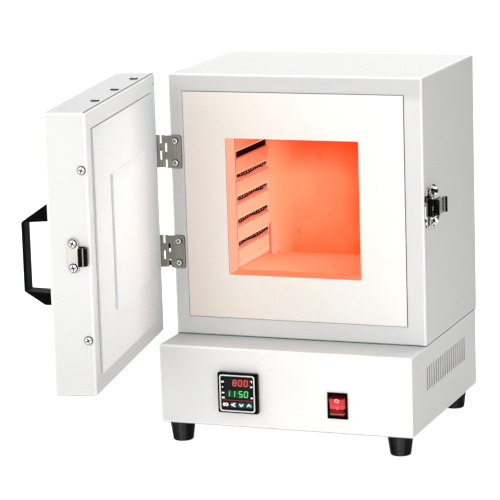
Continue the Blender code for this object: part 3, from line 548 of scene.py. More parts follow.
def wool_material():
    s = Shader("ceramic_wool")
    fluff = s.noise(180, 6, 0.7)
    s.set(Base_Color=s.mix(fluff, rgb(226, 224, 214), rgb(250, 249, 244)), Roughness=1.0)
    s.bump(fluff, 1.5 * MM, 0.8)
    return s.material


def heater_material():
    s = Shader("oxidised_heater_wire")
    scale = s.noise(700, 3)
    s.set(Base_Color=s.mix(scale, rgb(8, 3, 3), rgb(38, 10, 7)), Roughness=0.75, Specular_IOR_Level=0.1)
    s.set(Emission_Color=rgb(150, 25, 8), Emission_Strength=s.span(scale, 0.55, 0.75, 0.0, 0.12))
    s.bump(scale, 0.1 * MM, 0.5)
    return s.material


def sheath_material():
    """A ceramic tube, hot above the chamber's floor and redder down its shaded side."""
    s = Shader("hot_ceramic_sheath")
    grain = s.noise(500, 4)
    hot = s.ramp(s.axes()[2], CHAMBER_LOW.z, -4, 0)
    shade = s.mix(s.span(s.normal()[0], -0.5, 0.25), rgb(226, 66, 40), rgb(255, 168, 138))
    s.set(Base_Color=s.mix(hot, rgb(226, 214, 196), rgb(150, 80, 60)), Roughness=0.7)
    s.set(Emission_Color=s.mix(s.span(grain, 0.4, 0.8, 0.0, 0.4), shade, rgb(255, 118, 90)))
    s.set(Emission_Strength=s.times(hot, 0.88))
    s.bump(grain, 0.1 * MM, 0.4)
    return s.material


def rubber():
    s = Shader("black_rubber")
    bands = s.noise(90, 2, 0.5, (0.05, 0.05, 6))
    # Painted highlight: a pale streak of sheen on faces that look a little to the right.
    sheen = s.times(s.band(s.normal()[0], 0.24, 0.02, 0.5), s.vary(bands, 0.7, 1.0))
    s.set(Base_Color=s.mix(sheen, s.mix(bands, rgb(2, 2, 3), rgb(8, 8, 9)), rgb(70, 70, 72)))
    s.set(Roughness=s.vary(s.noise(300, 4), 0.4, 0.5), Specular_IOR_Level=0.08)
    s.bump(s.noise(700, 3), 0.08 * MM, 0.4)
    return s.material


def black_plastic(name, grain, roughness, dark=2, light=6, shine=0.03):
    s = Shader(name)
    colour = s.mix(s.noise(60, 3), rgb(dark, dark, dark + 1), rgb(light, light, light + 1))
    # Painted highlight: the edges paler than the flats.
    s.set(Base_Color=s.mix(s.edge(0.4 * MM, 0.3), colour, rgb(26, 26, 28)), Specular_IOR_Level=shine)
    s.set(Roughness=s.vary(s.noise(200, 3), roughness - 0.06, roughness + 0.06))
    s.bump(s.noise(1400, 2), grain * MM, 0.5)
    return s.material


def handle_plastic():
    """Dense black, with a painted sheen greying the faces that look up and a painted glint along its edges,
    brightest at one corner.
    """
    s = Shader("handle_black_plastic")
    up = s.span(s.normal()[2], 0.5, 0.9)
    colour = s.mix(s.noise(60, 3), rgb(2, 2, 3), rgb(8, 8, 9))
    # Painted sheen on the faces that look up.
    colour = s.mix(up, colour, rgb(58, 58, 60))
    corner = s.band(s.axes()[2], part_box("door_handle")[0][2] + 13 * MM, 1.2 * MM, 1.0 * MM)
    glint = s.times(s.edge(0.6 * MM, 0.3), s.plus(s.times(corner, 0.8), 0.12))
    s.set(Base_Color=s.mix(glint, colour, grey(230)), Specular_IOR_Level=0.03)
    s.set(Roughness=s.vary(s.noise(200, 3), 0.46, 0.58))
    s.bump(s.noise(1400, 2), 0.05 * MM, 0.5)
    return s.material


def stainless():
    """Stamped stainless with a vertical rolled grain, with painted shade in its gaps and a painted highlight
    along its edges.
    """
    s = Shader("stamped_stainless")
    grain = s.noise(420, 4, 0.6, (1, 1, 0.06))
    colour = s.mix(grain, rgb(128, 125, 114), rgb(190, 186, 172))
    colour = s.mix(s.edge(0.7 * MM, 0.15), colour, rgb(224, 222, 214))
    s.set(Base_Color=s.mix(s.crevice(2 * MM, 0.8), colour, rgb(24, 23, 21)), Metallic=0.85)
    s.set(Roughness=s.vary(grain, 0.34, 0.5))
    s.bump(grain, 0.04 * MM, 0.4)
    return s.material


def screw_material(name, rim_at):
    """Bright zinc on the dome with a painted glow of highlight on its crown, painted shade in the cross
    recess and a painted shadow under the rim.
    """
    s = Shader(name)
    x, y, z = s.axes(s.node("ShaderNodeTexCoord").outputs["Generated"])
    centred_x = s.minus(x, 0.5)
    centred_y = s.minus(y, 0.5)
    radius = s.math("SQRT", s.plus(s.times(centred_x, centred_x), s.times(centred_y, centred_y)))
    recess = s.times(s.span(radius, 0.34, 0.30), s.span(z, 0.90, 0.80))
    dark = s.most(recess, s.span(radius, rim_at, rim_at + 0.03))
    smear = s.noise(900, 3)
    colour = s.mix(smear, rgb(206, 206, 204), rgb(240, 240, 238))
    s.set(Base_Color=s.mix(dark, colour, rgb(8, 8, 7)), Metallic=0.35)
    s.set(Roughness=s.vary(smear, 0.2, 0.34))
    crown = s.times(s.inverse(dark), s.span(smear, 0.45, 0.62))
    s.set(Emission_Color=WHITE, Emission_Strength=s.times(crown, 0.4))
    s.bump(smear, 0.02 * MM, 0.3)
    return s.material


def chrome(name, dark_where):
    """Bright plating that reads pale on flats, with a painted highlight on its edges and painted shade in
    its gaps, and painted near black, as a reflection of the dark room, where a roll turns away from the
    light.
    """
    s = Shader(name)
    smear = s.noise(55, 3)
    pale = s.mix(smear, rgb(206, 200, 192), rgb(228, 222, 214))
    pale = s.mix(s.edge(0.5 * MM), pale, grey(250))
    pale = s.mix(s.crevice(1.5 * MM, 0.8), pale, grey(14))
    shadow = s.mix(smear, rgb(2, 2, 3), rgb(9, 9, 10))
    s.set(Base_Color=s.mix(dark_where(s), pale, shadow), Metallic=0.9)
    s.set(Roughness=s.vary(smear, 0.12, 0.2))
    s.bump(s.noise(260, 2), 0.02 * MM, 0.3)
    return s.material


def facet_chrome(name, scale):
    """Hard, bright plating on small bent faces, with painted reflections: random patches painted as the
    lamps, glowing a little, or as the dark room, and painted shade in its gaps.
    """
    s = Shader(name)
    cells = s.node("ShaderNodeTexVoronoi", {"Scale": scale, "Vector": s.coords})
    patch = s.span(s.axes(cells.outputs["Color"])[0], 0.46, 0.54)
    smear = s.noise(260, 3)
    bright = s.mix(smear, rgb(224, 224, 222), WHITE)
    colour = s.mix(patch, rgb(12, 12, 13), bright)
    s.set(Base_Color=s.mix(s.crevice(1.5 * MM, 0.8), colour, grey(6)), Metallic=0.7)
    s.set(Roughness=s.vary(smear, 0.1, 0.2))
    s.set(Emission_Color=WHITE, Emission_Strength=s.times(patch, 0.12))
    s.bump(smear, 0.03 * MM, 0.3)
    return s.material


def keeper_roll(s):
    """A painted dark reflection over the rolled hook, but for one painted bright streak of highlight down
    it.
    """
    low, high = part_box("keeper")
    across = s.axes()[0]
    plate_end = low[0] + 12.2 * MM
    dark = s.ramp(across, plate_end, -0.2, 0.2)
    streak = s.band(across, high[0] - 3.0 * MM, 0.25 * MM, 0.4 * MM)
    return s.times(dark, s.inverse(s.times(streak, 0.75)))


def lever_roll(s):
    """A painted dark reflection over the rolled eye at the lever's front, but for a broken painted streak of
    highlight down it.
    """
    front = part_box("latch_lever")[0][1]
    rolled = s.ramp(s.axes()[1], front, 9.9, 9.5)
    streak = s.times(s.band(s.normal()[0], 0.62, 0.05, 0.07), s.span(s.noise(330, 2), 0.42, 0.56))
    return s.times(rolled, s.inverse(s.times(streak, 0.9)))


def claw_ends(s):
    """Where a dark reflection is painted: the eye at the claw's front and the hook at its tip."""
    low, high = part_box("latch_claw")
    y = s.axes()[1]
    return s.most(s.ramp(y, low[1], 4.6, 4.2), s.ramp(y, high[1], -2.4, -1.8))


def grip_steel(name, dark_where):
    """The latch's grey flap: satin steel, with a painted highlight on its edges, painted shade in its gaps,
    and its rolled or hooked end painted near black as a dark reflection.
    """
    s = Shader(name)
    grain = s.noise(300, 3, 0.6, (1, 0.1, 1))
    colour = s.mix(grain, rgb(138, 138, 136), rgb(168, 168, 166))
    colour = s.mix(s.edge(0.4 * MM), colour, rgb(226, 226, 224))
    colour = s.mix(s.crevice(0.8 * MM, 0.7), colour, grey(70))
    dark = dark_where(s)
    s.set(Base_Color=s.mix(dark, colour, rgb(3, 3, 4)))
    s.set(Metallic=s.minus(0.9, s.times(dark, 0.3)))
    s.set(Roughness=s.vary(grain, 0.22, 0.34), Specular_IOR_Level=0.1)
    s.bump(grain, 0.02 * MM, 0.3)
    return s.material


def mottled(name, dark, light, scale, roughness, specular, grain):
    """An uneven colour with a fine grain, which is a noise scale, a depth in mm and a strength."""
    s = Shader(name)
    s.set(Base_Color=s.mix(s.noise(*scale), dark, light), Roughness=roughness, Specular_IOR_Level=specular)
    s.bump(s.noise(grain[0], 2), grain[1] * MM, grain[2])
    return s.material


def nylon():
    return mottled("pale_nylon", rgb(226, 225, 212), rgb(238, 237, 228), (50, 3), 0.5, 0.5, (800, 0.05, 0.4))


def red_rocker():
    """Translucent red, lit from within behind its middle, with a painted highlight glowing along its lower
    lip.
    """
    s = Shader("lit_red_rocker")
    x, _, z = s.axes()
    low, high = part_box("rocker_button")
    middle = (low[2] + high[2]) / 2
    lit = s.band(z, middle + 2.8 * MM, 5.6 * MM, 0.8 * MM)
    ridge = s.band(z, middle - 1.0 * MM, 1.2 * MM, 2.0 * MM)
    # Painted highlight along the lower lip.
    lip = s.band(z, low[2] + 2.3 * MM, 0.4 * MM, 0.6 * MM)
    side = s.span(s.away(x, (low[0] + high[0]) / 2), 8.2 * MM, 9.0 * MM)
    mottle = s.noise(500, 3)
    strength = s.plus(s.times(lit, 0.42), s.times(ridge, 0.22))
    strength = s.plus(strength, s.times(lip, 0.4))
    strength = s.plus(strength, s.times(s.times(side, lit), 0.3))
    strength = s.times(strength, s.vary(mottle, 0.8, 1.1))
    red = s.mix(mottle, rgb(150, 6, 12), rgb(180, 12, 18))
    s.set(Base_Color=s.mix(lit, rgb(120, 4, 8), red), Roughness=0.3, Specular_IOR_Level=0.25)
    s.set(Emission_Color=s.mix(lip, rgb(255, 92, 96), rgb(255, 150, 140)), Emission_Strength=strength)
    s.bump(mottle, 0.03 * MM, 0.3)
    return s.material


def controller_plastic():
    return mottled("controller_facing", rgb(4, 5, 6), rgb(12, 14, 15), (30, 2), 0.3, 0.12, (900, 0.02, 0.3))


def lit_window(middle):
    """Smoked glass that glows dimly round the red and the green figures behind it."""
    s = Shader("smoked_window")
    x, _, z = s.axes()
    red = s.times(s.band(x, middle.x + 5 * MM, 6 * MM, 6 * MM),
                  s.band(z, middle.z + 12.4 * MM, 2.5 * MM, 3.2 * MM))
    green = s.times(s.band(x, middle.x, 10 * MM, 6 * MM), s.band(z, middle.z - 0.8 * MM, 2.5 * MM, 3 * MM))
    smoke = s.mix(s.noise(30, 2), rgb(5, 7, 8), rgb(20, 26, 28))
    s.set(Base_Color=smoke, Roughness=0.3, Specular_IOR_Level=0.15)
    glow = s.mix(green, s.mix(red, grey(0), rgb(92, 14, 12)), rgb(0, 66, 24))
    s.set(Emission_Color=glow, Emission_Strength=s.vary(s.noise(260, 3), 0.9, 1.2))
    s.bump(s.noise(900, 2), 0.02 * MM, 0.3)
    return s.material


def key_cap(name, dark, light):
    return mottled(name, dark, light, (300, 3), 0.45, 0.3, (900, 0.04, 0.4))


def lamp(name, colour, strength):
    """A lit mark, a little uneven as moulded light guides are."""
    s = Shader(name)
    s.set(Base_Color=colour, Roughness=0.4, Emission_Color=colour)
    s.set(Emission_Strength=s.vary(s.noise(700, 2), strength * 0.8, strength))
    return s.material


def ink(name, colour):
    s = Shader(name)
    shade = tuple(v * 0.86 for v in colour[:3]) + (1,)
    s.set(Base_Color=s.mix(s.noise(400, 3), shade, colour), Roughness=0.5)
    return s.material


# ---------------- measures read from the frame

def corners(node):
    """A node's box as two vectors."""
    low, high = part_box(node)
    return Vector(low), Vector(high)


CHAMBER_LOW = Vector((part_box("muffle_left")[1][0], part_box("front_board")[1][1],
                      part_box("muffle_floor")[1][2]))
CHAMBER_HIGH = Vector((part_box("muffle_right")[0][0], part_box("muffle_back")[0][1],
                       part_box("muffle_roof")[0][2]))
CHAMBER_MID = (CHAMBER_LOW + CHAMBER_HIGH) / 2
CHAMBER_HALF = (CHAMBER_HIGH - CHAMBER_LOW) / 2
GROOVES = 5  # in each side wall of the chamber, for the heating wires
GROOVE_PITCH = 27 * MM
TOP_GROOVE = CHAMBER_LOW.z + 136.5 * MM
JOINTS = {joint["name"]: joint for joint in frame["record"]["behaviour"]["joints"]}
DOOR_PIN = Vector(JOINTS["door_hinge"]["pos_m"])
DOOR_ANGLE = math.radians(JOINTS["door_hinge"]["range_deg"][1])  # from its open rest to closed
DOOR_ALONG = Vector((math.cos(DOOR_ANGLE), -math.sin(DOOR_ANGLE), 0))  # hinge to free edge, at rest
DOOR_ACROSS = Vector((math.sin(DOOR_ANGLE), math.cos(DOOR_ANGLE), 0))  # out of its inner face, at rest
DOOR_INNER = -7.58 * MM  # its inner face, measured across from the pin
DOOR_FACE = DOOR_PIN.dot(DOOR_ACROSS) + DOOR_INNER  # the same face, measured from the origin
HINGE_END = DOOR_PIN.dot(DOOR_ALONG)


# ---------------- building pieces


def finish_piece(name, bm, material, body):
    """Links a mesh as one piece that rides on a body and takes the material it is given."""
    bmesh.ops.recalc_face_normals(bm, faces=bm.faces)
    mesh = bpy.data.meshes.new(name)
    bm.to_mesh(mesh)
    bm.free()
    return link_piece(name, mesh, material, body)


def link_piece(name, mesh, material, body, replaced=()):
    if not mesh.materials:
        mesh.materials.append(material)
    obj = bpy.data.objects.new(name, mesh)
    SCENE.collection.objects.link(obj)
    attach(obj, body)
    for node in replaced:
        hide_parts(node)
    return obj


FRONT = Vector((0, -1, 0))


def facing(outward, at):
    """Local axes on an upright face: x to the right as seen, y up, z out of the face, at a point."""
    out = Vector(outward).normalized()
    up = Vector((0, 1, 0)) if abs(out.z) > 0.9 else Vector((0, 0, 1))
    right = up.cross(out)
    turn = Matrix((right, up, out)).transposed()
    return Matrix.Translation(at) @ turn.to_4x4()


def face_mm(outward, at):
    """The same axes with a millimetre as their unit."""
    return facing(outward, at) @ Matrix.Scale(MM, 4)


def prism(bm, ring, depth, place):
    """A flat shape, given as a ring of (x, y) points, raised to a depth."""
    low, high = ([bm.verts.new(place @ Vector((x, y, z))) for x, y in ring] for z in (0, depth))
    bm.faces.new(low)
    bm.faces.new(high)
    for i in range(len(ring)):
        j = (i + 1) % len(ring)
        bm.faces.new((low[i], low[j], high[j], high[i]))


def plate(name, ring, depth, place, material, body):
    """One prism as a piece of its own."""
    bm = bmesh.new()
    prism(bm, ring, depth, place)
    finish_piece(name, bm, material, body)


def hoop(bm, outer, inner, depth, place):
    """A flat frame between two rings with the same number of points, raised to a depth."""
    rings = [[bm.verts.new(place @ Vector((x, y, z))) for x, y in ring]
             for ring, z in ((outer, 0), (outer, depth), (inner, depth), (inner, 0))]
    for k in range(4):
        a, b = rings[k], rings[(k + 1) % 4]
        for i in range(len(a)):
            j = (i + 1) % len(a)
            bm.faces.new((a[i], a[j], b[j], b[i]))


def rounded(half_w, half_h, radius, centre=(0, 0), steps=5):
    points = []
    for corner, (sx, sy) in enumerate(((1, 1), (-1, 1), (-1, -1), (1, -1))):
        for i in range(steps):
            angle = math.pi / 2 * (corner + i / (steps - 1))
            points.append((centre[0] + sx * (half_w - radius) + radius * math.cos(angle),
                           centre[1] + sy * (half_h - radius) + radius * math.sin(angle)))
    return points


def circle(radius, centre=(0, 0), count=24):
    return [(centre[0] + radius * math.cos(math.tau * i / count),
             centre[1] + radius * math.sin(math.tau * i / count)) for i in range(count)]


def bar(start, end, width):
    """A straight stroke with square ends."""
    a, b = Vector(start), Vector(end)
    side = (b - a).normalized().orthogonal() * (width / 2)
    return [tuple(p) for p in (a + side, a - side, b - side, b + side)]


# ---------------- screws


def screw_mesh(radius):
    """A pan head with a cross recess, seated at its own z = 0."""
    height = 0.36 * radius + 0.3 * MM
    profile = ((1.0, 0.0), (1.0, 0.16), (0.97, 0.42), (0.90, 0.66), (0.76, 0.85), (0.55, 0.96), (0.3, 1.0))
    sides = 36
    bm = bmesh.new()
    rings = [[bm.verts.new((x, y, h * height)) for x, y in circle(r * radius, count=sides)]
             for r, h in profile]
    for low, high in zip(rings, rings[1:]):
        for i in range(sides):
            j = (i + 1) % sides
            bm.faces.new((low[i], low[j], high[j], high[i]))
    bm.faces.new(rings[0])
    bm.faces.new(rings[-1])
    bmesh.ops.recalc_face_normals(bm, faces=bm.faces)
    head = bpy.data.meshes.new("screw_head")
    bm.to_mesh(head)
    bm.free()
    head.shade_smooth()
    body = bpy.data.objects.new("screw_head", head)
    SCENE.collection.objects.link(body)
    arm = 1.2 * radius
    width = 0.26 * radius
    cutters = []
    for turn in (math.pi / 4, -math.pi / 4):
        cutter = bmesh.new()
        bmesh.ops.create_cube(cutter, size=1)
        bmesh.ops.scale(cutter, vec=(arm, width, height), verts=cutter.verts)
        bmesh.ops.rotate(cutter, matrix=Matrix.Rotation(turn, 3, "Z"), verts=cutter.verts)
        bmesh.ops.translate(cutter, vec=(0, 0, 0.95 * height), verts=cutter.verts)
        mesh = bpy.data.meshes.new("recess")
        cutter.to_mesh(mesh)
        cutter.free()
        obj = bpy.data.objects.new("recess", mesh)
        SCENE.collection.objects.link(obj)
        cutters.append(obj)
        slot = body.modifiers.new("recess", "BOOLEAN")
        slot.operation = "DIFFERENCE"
        slot.object = obj
    bpy.context.view_layer.update()
    shaped = bpy.data.meshes.new_from_object(body.evaluated_get(bpy.context.evaluated_depsgraph_get()))
    shaped.set_sharp_from_angle(angle=math.radians(38))
    for obj in (body, *cutters):
        bpy.data.objects.remove(obj)
    return shaped


def place_screw(name, mesh, at, outward, material, body, turn, replaced=()):
    obj = link_piece(name, mesh, material, body, replaced)
    obj.matrix_world = facing(outward, at) @ Matrix.Rotation(turn, 4, "Z")
    return obj


def make_screws():
    """Detailed heads in place of the frame's plain ones, and the ones on the back and underneath."""
    steel = screw_material("bright_screw", 0.39)
    top_steel = screw_material("bright_top_screw", 0.465)
    small = 3.4
    sizes = {radius: screw_mesh(radius * MM) for radius in (small, 4.1, 4.8, 5.0)}
    groups = (("hinge_screw_", 4.1, FRONT, "cabinet", steel),
              ("latch_screw_", small, Vector((1, 0, 0)), "cabinet", steel),
              ("keeper_screw_", 5.0, DOOR_ALONG, "door", steel),
              ("door_edge_screw_", 4.8, DOOR_ALONG, "door", steel),
              ("door_top_screw_", 4.8, Vector((0, 0, 1)), "door", top_steel))
    turn = 0.3
    turn_step = 0.9
    for prefix, radius, outward, body, plated in groups:
        for node in sorted(n for n in NODES if n.startswith(prefix)):
            low, high = corners(node)
            seat = (low + high) / 2 - outward * (0.18 * radius + 0.15) * MM
            name = node.replace("screw", "pan_head")
            place_screw(name, sizes[radius], seat, outward, plated, body, turn, (node,))
            turn += turn_step
    cover_low, cover_high = corners("back_cover")
    base_high = corners("base_shell")[1]
    plate_low, plate_high = corners("base_plate")
    cover_rows = (cover_low.z + 8 * MM, (cover_low.z + cover_high.z) / 2, cover_high.z - 8 * MM)
    spots = []
    for side, sx in (("left", -1), ("right", 1)):
        for row, z in enumerate(cover_rows):
            at = (sx * (cover_high.x - 7 * MM), cover_high.y, z)
            spots.append((f"cover_pan_head_{side}_{row}", at, (0, 1, 0)))
        for row, y in enumerate((plate_low.y + 8 * MM, plate_high.y - 8 * MM)):
            at = (sx * (plate_high.x - 8 * MM), y, 0)
            spots.append((f"plate_pan_head_{side}_{row}", at, (0, 0, -1)))
        for row, z in enumerate((14 * MM, 80 * MM)):
            at = (sx * (base_high.x - 9 * MM), base_high.y, z)
            spots.append((f"cabinet_pan_head_{side}_{row}", at, (0, 1, 0)))
    for name, at, outward in spots:
        place_screw(name, sizes[small], at, outward, steel, "cabinet", turn)
        turn += turn_step
    inset = DOOR_PIN + DOOR_ACROSS * (DOOR_INNER - 11 * MM)
    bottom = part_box("door_shell")[0][2]
    for row, along in enumerate((45, 155, 265)):
        at = inset + DOOR_ALONG * along * MM
        place_screw(f"door_bottom_pan_head_{row}", sizes[small], (at.x, at.y, bottom), (0, 0, -1),
                    steel, "door", turn)
    for node in ("hinge_door_leaf_upper", "hinge_door_leaf_lower"):
        low, high = corners(node)
        at = inset + DOOR_ALONG * -0.1 * MM
        for row, dz in enumerate((-13 * MM, 13 * MM)):
            spot = (at.x, at.y, (low.z + high.z) / 2 + dz)
            place_screw(f"{node}_pan_head_{row}", sizes[small], spot, -DOOR_ALONG, steel, "door", turn)
            turn += turn_step


# ---------------- controller and switch


PRINT_DEPTH = 0.12  # in millimetres, like all the measures on the controller's face
SEGMENTS = {"0": "abcdef", "1": "bc", "5": "acdfg", "8": "abcdefg"}


def digit(bm, figure, left, low, width, height, stroke, place):
    """One leaning seven-segment figure."""
    half = height / 2
    ends = {"a": ((0, height), (width, height)), "b": ((width, half), (width, height)),
            "c": ((width, 0), (width, half)), "d": ((0, 0), (width, 0)), "e": ((0, 0), (0, half)),
            "f": ((0, half), (0, height)), "g": ((0, half), (width, half))}
    lean = 0.09
    gap = stroke * 0.12
    for key in SEGMENTS[figure]:
        (x0, y0), (x1, y1) = ends[key]
        along = Vector((x1 - x0, y1 - y0)).normalized() * gap
        a = Vector((x0 + left + lean * y0, y0 + low)) + along
        b = Vector((x1 + left + lean * y1, y1 + low)) - along
        prism(bm, bar(a, b, stroke), 0.15, place)


def make_controller():
    """Trim, window, lit figures, marks and key symbols of the temperature controller."""
    low, high = corners("controller_face")
    middle = Vector(((low.x + high.x) / 2, low.y - 0.01 * MM, (low.z + high.z) / 2))
    face = face_mm(FRONT, middle)

    trim = bmesh.new()
    hoop(trim, rounded(21.7, 21.8, 3), rounded(20.4, 20.5, 2.2), 0.6, face)
    silver = ink("silver_trim", grey(252))
    finish_piece("controller_trim", trim, silver, "cabinet")
    window = rounded(16.5, 12.2, 1, (0.6, 5.8))
    plate("controller_window", window, 0.1, face, lit_window(middle), "cabinet")

    on_window = face @ Matrix.Translation((0, 0, 0.1))
    rows = (("red", "800", (-5.3, 1.6, 8.7), 9.2, 6.6, 0.95, rgb(206, 88, 66), 0.52),
            ("green", "1150", (-13.8, -7.4, 2.0, 8.6), -4.0, 6.8, 1.0, rgb(96, 206, 116), 0.6))
    for name, figures, lefts, bottom, height, stroke, colour, strength in rows:
        bm = bmesh.new()
        for left, figure in zip(lefts, figures):
            digit(bm, figure, left, bottom, 3.9, height, stroke, on_window)
        lit = lamp(f"{name}_figures", colour, strength)
        finish_piece(f"figures_{name}", bm, lit, "cabinet")

    marks = bmesh.new()
    for x, y, w, h in ((-17.9, 13.3, 3.2, 1.7), (-18.1, 6.9, 1.7, 1.3), (-17.7, 0.2, 3.3, 1.6),
                       (-17.6, -5.6, 3.4, 1.9), (17.6, 15.6, 2.0, 1.0), (18.3, 14.6, 0.9, 2.4),
                       (17.7, 8.6, 2.5, 1.7), (17.8, -4.5, 2.4, 1.9)):
        prism(marks, rounded(w / 2, h / 2, 0.3, (x, y)), PRINT_DEPTH, face)
    white = lamp("white_print", grey(250), 0.35)
    finish_piece("controller_marks", marks, white, "cabinet")
    rule = rounded(19.4, 0.5, 0.2, (1.0, -8.4))
    red = ink("red_print", rgb(160, 18, 34))
    plate("controller_rule", rule, PRINT_DEPTH, face, red, "cabinet")

    chevrons = {"left": ((2.2, 2.07), (-2.2, 0), (2.2, -2.07)),
                "down": ((-2.42, 1.38), (0, -1.38), (2.42, 1.38)),
                "up": ((-2.42, -1.38), (0, 1.38), (2.42, -1.38))}
    for key, path in chevrons.items():
        symbol = bmesh.new()
        chevron(symbol, path, face_mm(FRONT, key_front(key)))
        finish_piece(f"symbol_{key}", symbol, white, f"key_{key}_body")
    place = face_mm(FRONT, key_front("set"))
    symbol = bmesh.new()
    hoop(symbol, circle(1.9, (-1.7, 0)), circle(0.6, (-1.7, 0)), PRINT_DEPTH, place)
    chevron(symbol, ((0.7, 2.0), (2.6, 0), (0.7, -2.0)), place)
    finish_piece("symbol_set", symbol, white, "key_set_body")


def key_front(key):
    low, high = corners(f"key_{key}")
    return Vector(((low.x + high.x) / 2, low.y, (low.z + high.z) / 2))


def chevron(bm, path, place):
    """A mitred stroke through three points."""
    a, b, c = (Vector(p) for p in path)
    half = 0.65
    side_ab, side_bc = ((q - p).normalized().orthogonal() * half for p, q in ((a, b), (b, c)))
    corner = side_ab + side_bc
    corner = corner * half ** 2 / corner.dot(side_ab)
    ring = [a + side_ab, b + corner, c + side_bc, c - side_bc, b - corner, a - side_ab]
    prism(bm, [tuple(p) for p in ring], PRINT_DEPTH, place)


def make_rocker_marks():
    """The off ring on the rocker's upper half and the on bar on its lower half."""
    pivot = Vector(JOINTS["rocker_tilt"]["pos_m"])
    tilt = Matrix.Rotation(math.radians(8), 4, "X")
    ridge = Matrix.Translation(pivot) @ tilt @ Matrix.Translation((0, -8.3 * MM, 0))
    white = ink("rocker_print", rgb(252, 206, 200))
    slope = math.atan2(1.5, 10.9)
    places = []
    for sign, along in ((1, 7.9 * MM), (-1, 2.0 * MM)):
        lean = Matrix.Rotation(sign * slope, 4, "X")
        place = ridge @ lean @ Matrix.Translation((0, -0.12 * MM, sign * along))
        places.append(place @ face_mm(FRONT, (0, 0, 0)))
    ring = bmesh.new()
    hoop(ring, circle(2.7), circle(1.6), 0.25, places[0])
    finish_piece("rocker_ring", ring, white, "rocker")
    plate("rocker_bar", rounded(0.4, 1.5, 0.2), 0.25, places[1], white, "rocker")


# ---------------- heating coils, shade pieces and small fittings


def make_coil(side, face, outward, material):
    """Close-wound turns lying in each groove, their pitch a little uneven."""
    low, high = corners(f"heating_coil_{side}")
    pitch = 7.2 * MM
    radius = 2.6 * MM
    middle = face + outward * 4.2 * MM
    curve = bpy.data.curves.new(f"coil_{side}", "CURVE")
    curve.dimensions = "3D"
    curve.bevel_depth = 0.85 * MM
    curve.bevel_resolution = 2
    curve.use_fill_caps = True
    steps = 10
    count = int((high.y - low.y) / pitch) * steps
    for row in range(GROOVES):
        spline = curve.splines.new("POLY")
        spline.points.add(count)
        for i, point in enumerate(spline.points):
            angle = math.tau * i / steps
            drift = 0.9 * MM * math.sin(i * 0.11 + row * 2.1) + 0.5 * MM * math.sin(i * 0.37 + row)
            sag = 0.8 * MM * math.sin(i * 0.07 + row * 1.3) + 0.9 * MM
            point.co = (middle + radius * math.sin(angle), low.y + (high.y - low.y) * i / count + drift,
                        TOP_GROOVE - row * GROOVE_PITCH + radius * math.cos(angle) + sag, 1)
    curve.materials.append(material)
    coil = bpy.data.objects.new(curve.name, curve)
    SCENE.collection.objects.link(coil)
    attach(coil, "cabinet")
    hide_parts(f"heating_coil_{side}")


def make_hinge_gap_shades():
    """Black pieces that show between the knuckles of the lower hinge, put there as painted shade in the
    barrel's gaps.
    """
    pin_low, pin_high = corners("hinge_pin_lower")
    leaf_low, leaf_high = corners("hinge_body_leaf_lower")
    plastic = black_plastic("gap_shade_plastic", 0.03, 0.5)
    for name, share in (("upper", 0.66), ("lower", 0.13)):
        height = leaf_low.z + (leaf_high.z - leaf_low.z) * share
        place = face_mm(FRONT, (pin_high.x + 1.9 * MM, (pin_low.y + pin_high.y) / 2, height))
        plate(f"hinge_gap_shade_{name}", rounded(1.3, 3.1, 0.5), 0.5, place, plastic, "cabinet")


def make_latch_gussets():
    """Folded gussets that brace the latch's ears against its base plate."""
    base_low = corners("latch_base")[0]
    lever_low, lever_high = corners("latch_lever")
    plating = facet_chrome("gusset_plating", 410)
    place = face_mm(FRONT, (base_low.x + 1.5 * MM, base_low.y + 21 * MM, (lever_low.z + lever_high.z) / 2))
    ear = 12.4
    fin = ((0, 0), (9.4, 0), (8.4, 5.2), (7.0, 9.4), (3.4, 12.2), (0, 11.0))
    for name, side in (("upper", 1), ("lower", -1)):
        ring = [(out, side * (ear + rise)) for out, rise in fin]
        plate(f"latch_gusset_{name}", ring, 1.2, place, plating, "cabinet")


def make_hinge_shadow_pads():
    """Thin black pads between the hinges' leaves and the paint, as a painted shadow that shows as a fine
    dark outline.
    """
    body_low = corners("body_shell")[0]
    left = body_low.x + 0.6 * MM
    plastic = black_plastic("shadow_pad_plastic", 0.03, 0.6)
    for hinge in ("upper", "lower"):
        low, high = corners(f"hinge_body_leaf_{hinge}")
        right = high.x + 0.6 * MM
        ring = rounded((right - left) / 2, (high.z - low.z) / 2 + 0.5 * MM, 3 * MM)
        place = facing(FRONT, ((right + left) / 2, body_low.y - 0.04 * MM, (high.z + low.z) / 2))
        plate(f"hinge_shadow_pad_{hinge}", ring, 0.12 * MM, place, plastic, "cabinet")


def make_rivet():
    """A small dark rivet in the top hinge corner of the door's inner frame."""
    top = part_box("door_shell")[1][2]
    at = DOOR_PIN + DOOR_ALONG * 11 * MM + DOOR_ACROSS * DOOR_INNER
    place = face_mm(DOOR_ACROSS, (at.x, at.y, top - 12 * MM))
    black = black_plastic("rivet_black", 0.03, 0.5, 20, 40)
    plate("door_frame_rivet", circle(1.0, count=16), 0.25, place, black, "door")


def make_seam_shade():
    """A thin dark strip in the joint between the kiln's body and the cabinet, as painted shade in the seam.
    """
    low, high = corners("body_shell")
    half_w = (high.x - low.x) / 2 - 0.55 * MM
    half_d = (high.y - low.y) / 2 - 0.55 * MM
    width = 3 * MM
    rise = 0.95 * MM
    place = Matrix.Translation(((low.x + high.x) / 2, (low.y + high.y) / 2, low.z - rise))
    bm = bmesh.new()
    hoop(bm, rounded(half_w, half_d, 1 * MM), rounded(half_w - width, half_d - width, 0.5 * MM),
         2 * rise, place)
    finish_piece("body_seam_shade", bm, rubber(), "cabinet")


# ---------------- dressing the frame


def dress(material, *names):
    """Gives CAD nodes a material, in every slot they have."""
    for name in names:
        mesh_slots = NODES[name].data.materials
        if len(mesh_slots):
            for i in range(len(mesh_slots)):
                mesh_slots[i] = material
        else:
            mesh_slots.append(material)


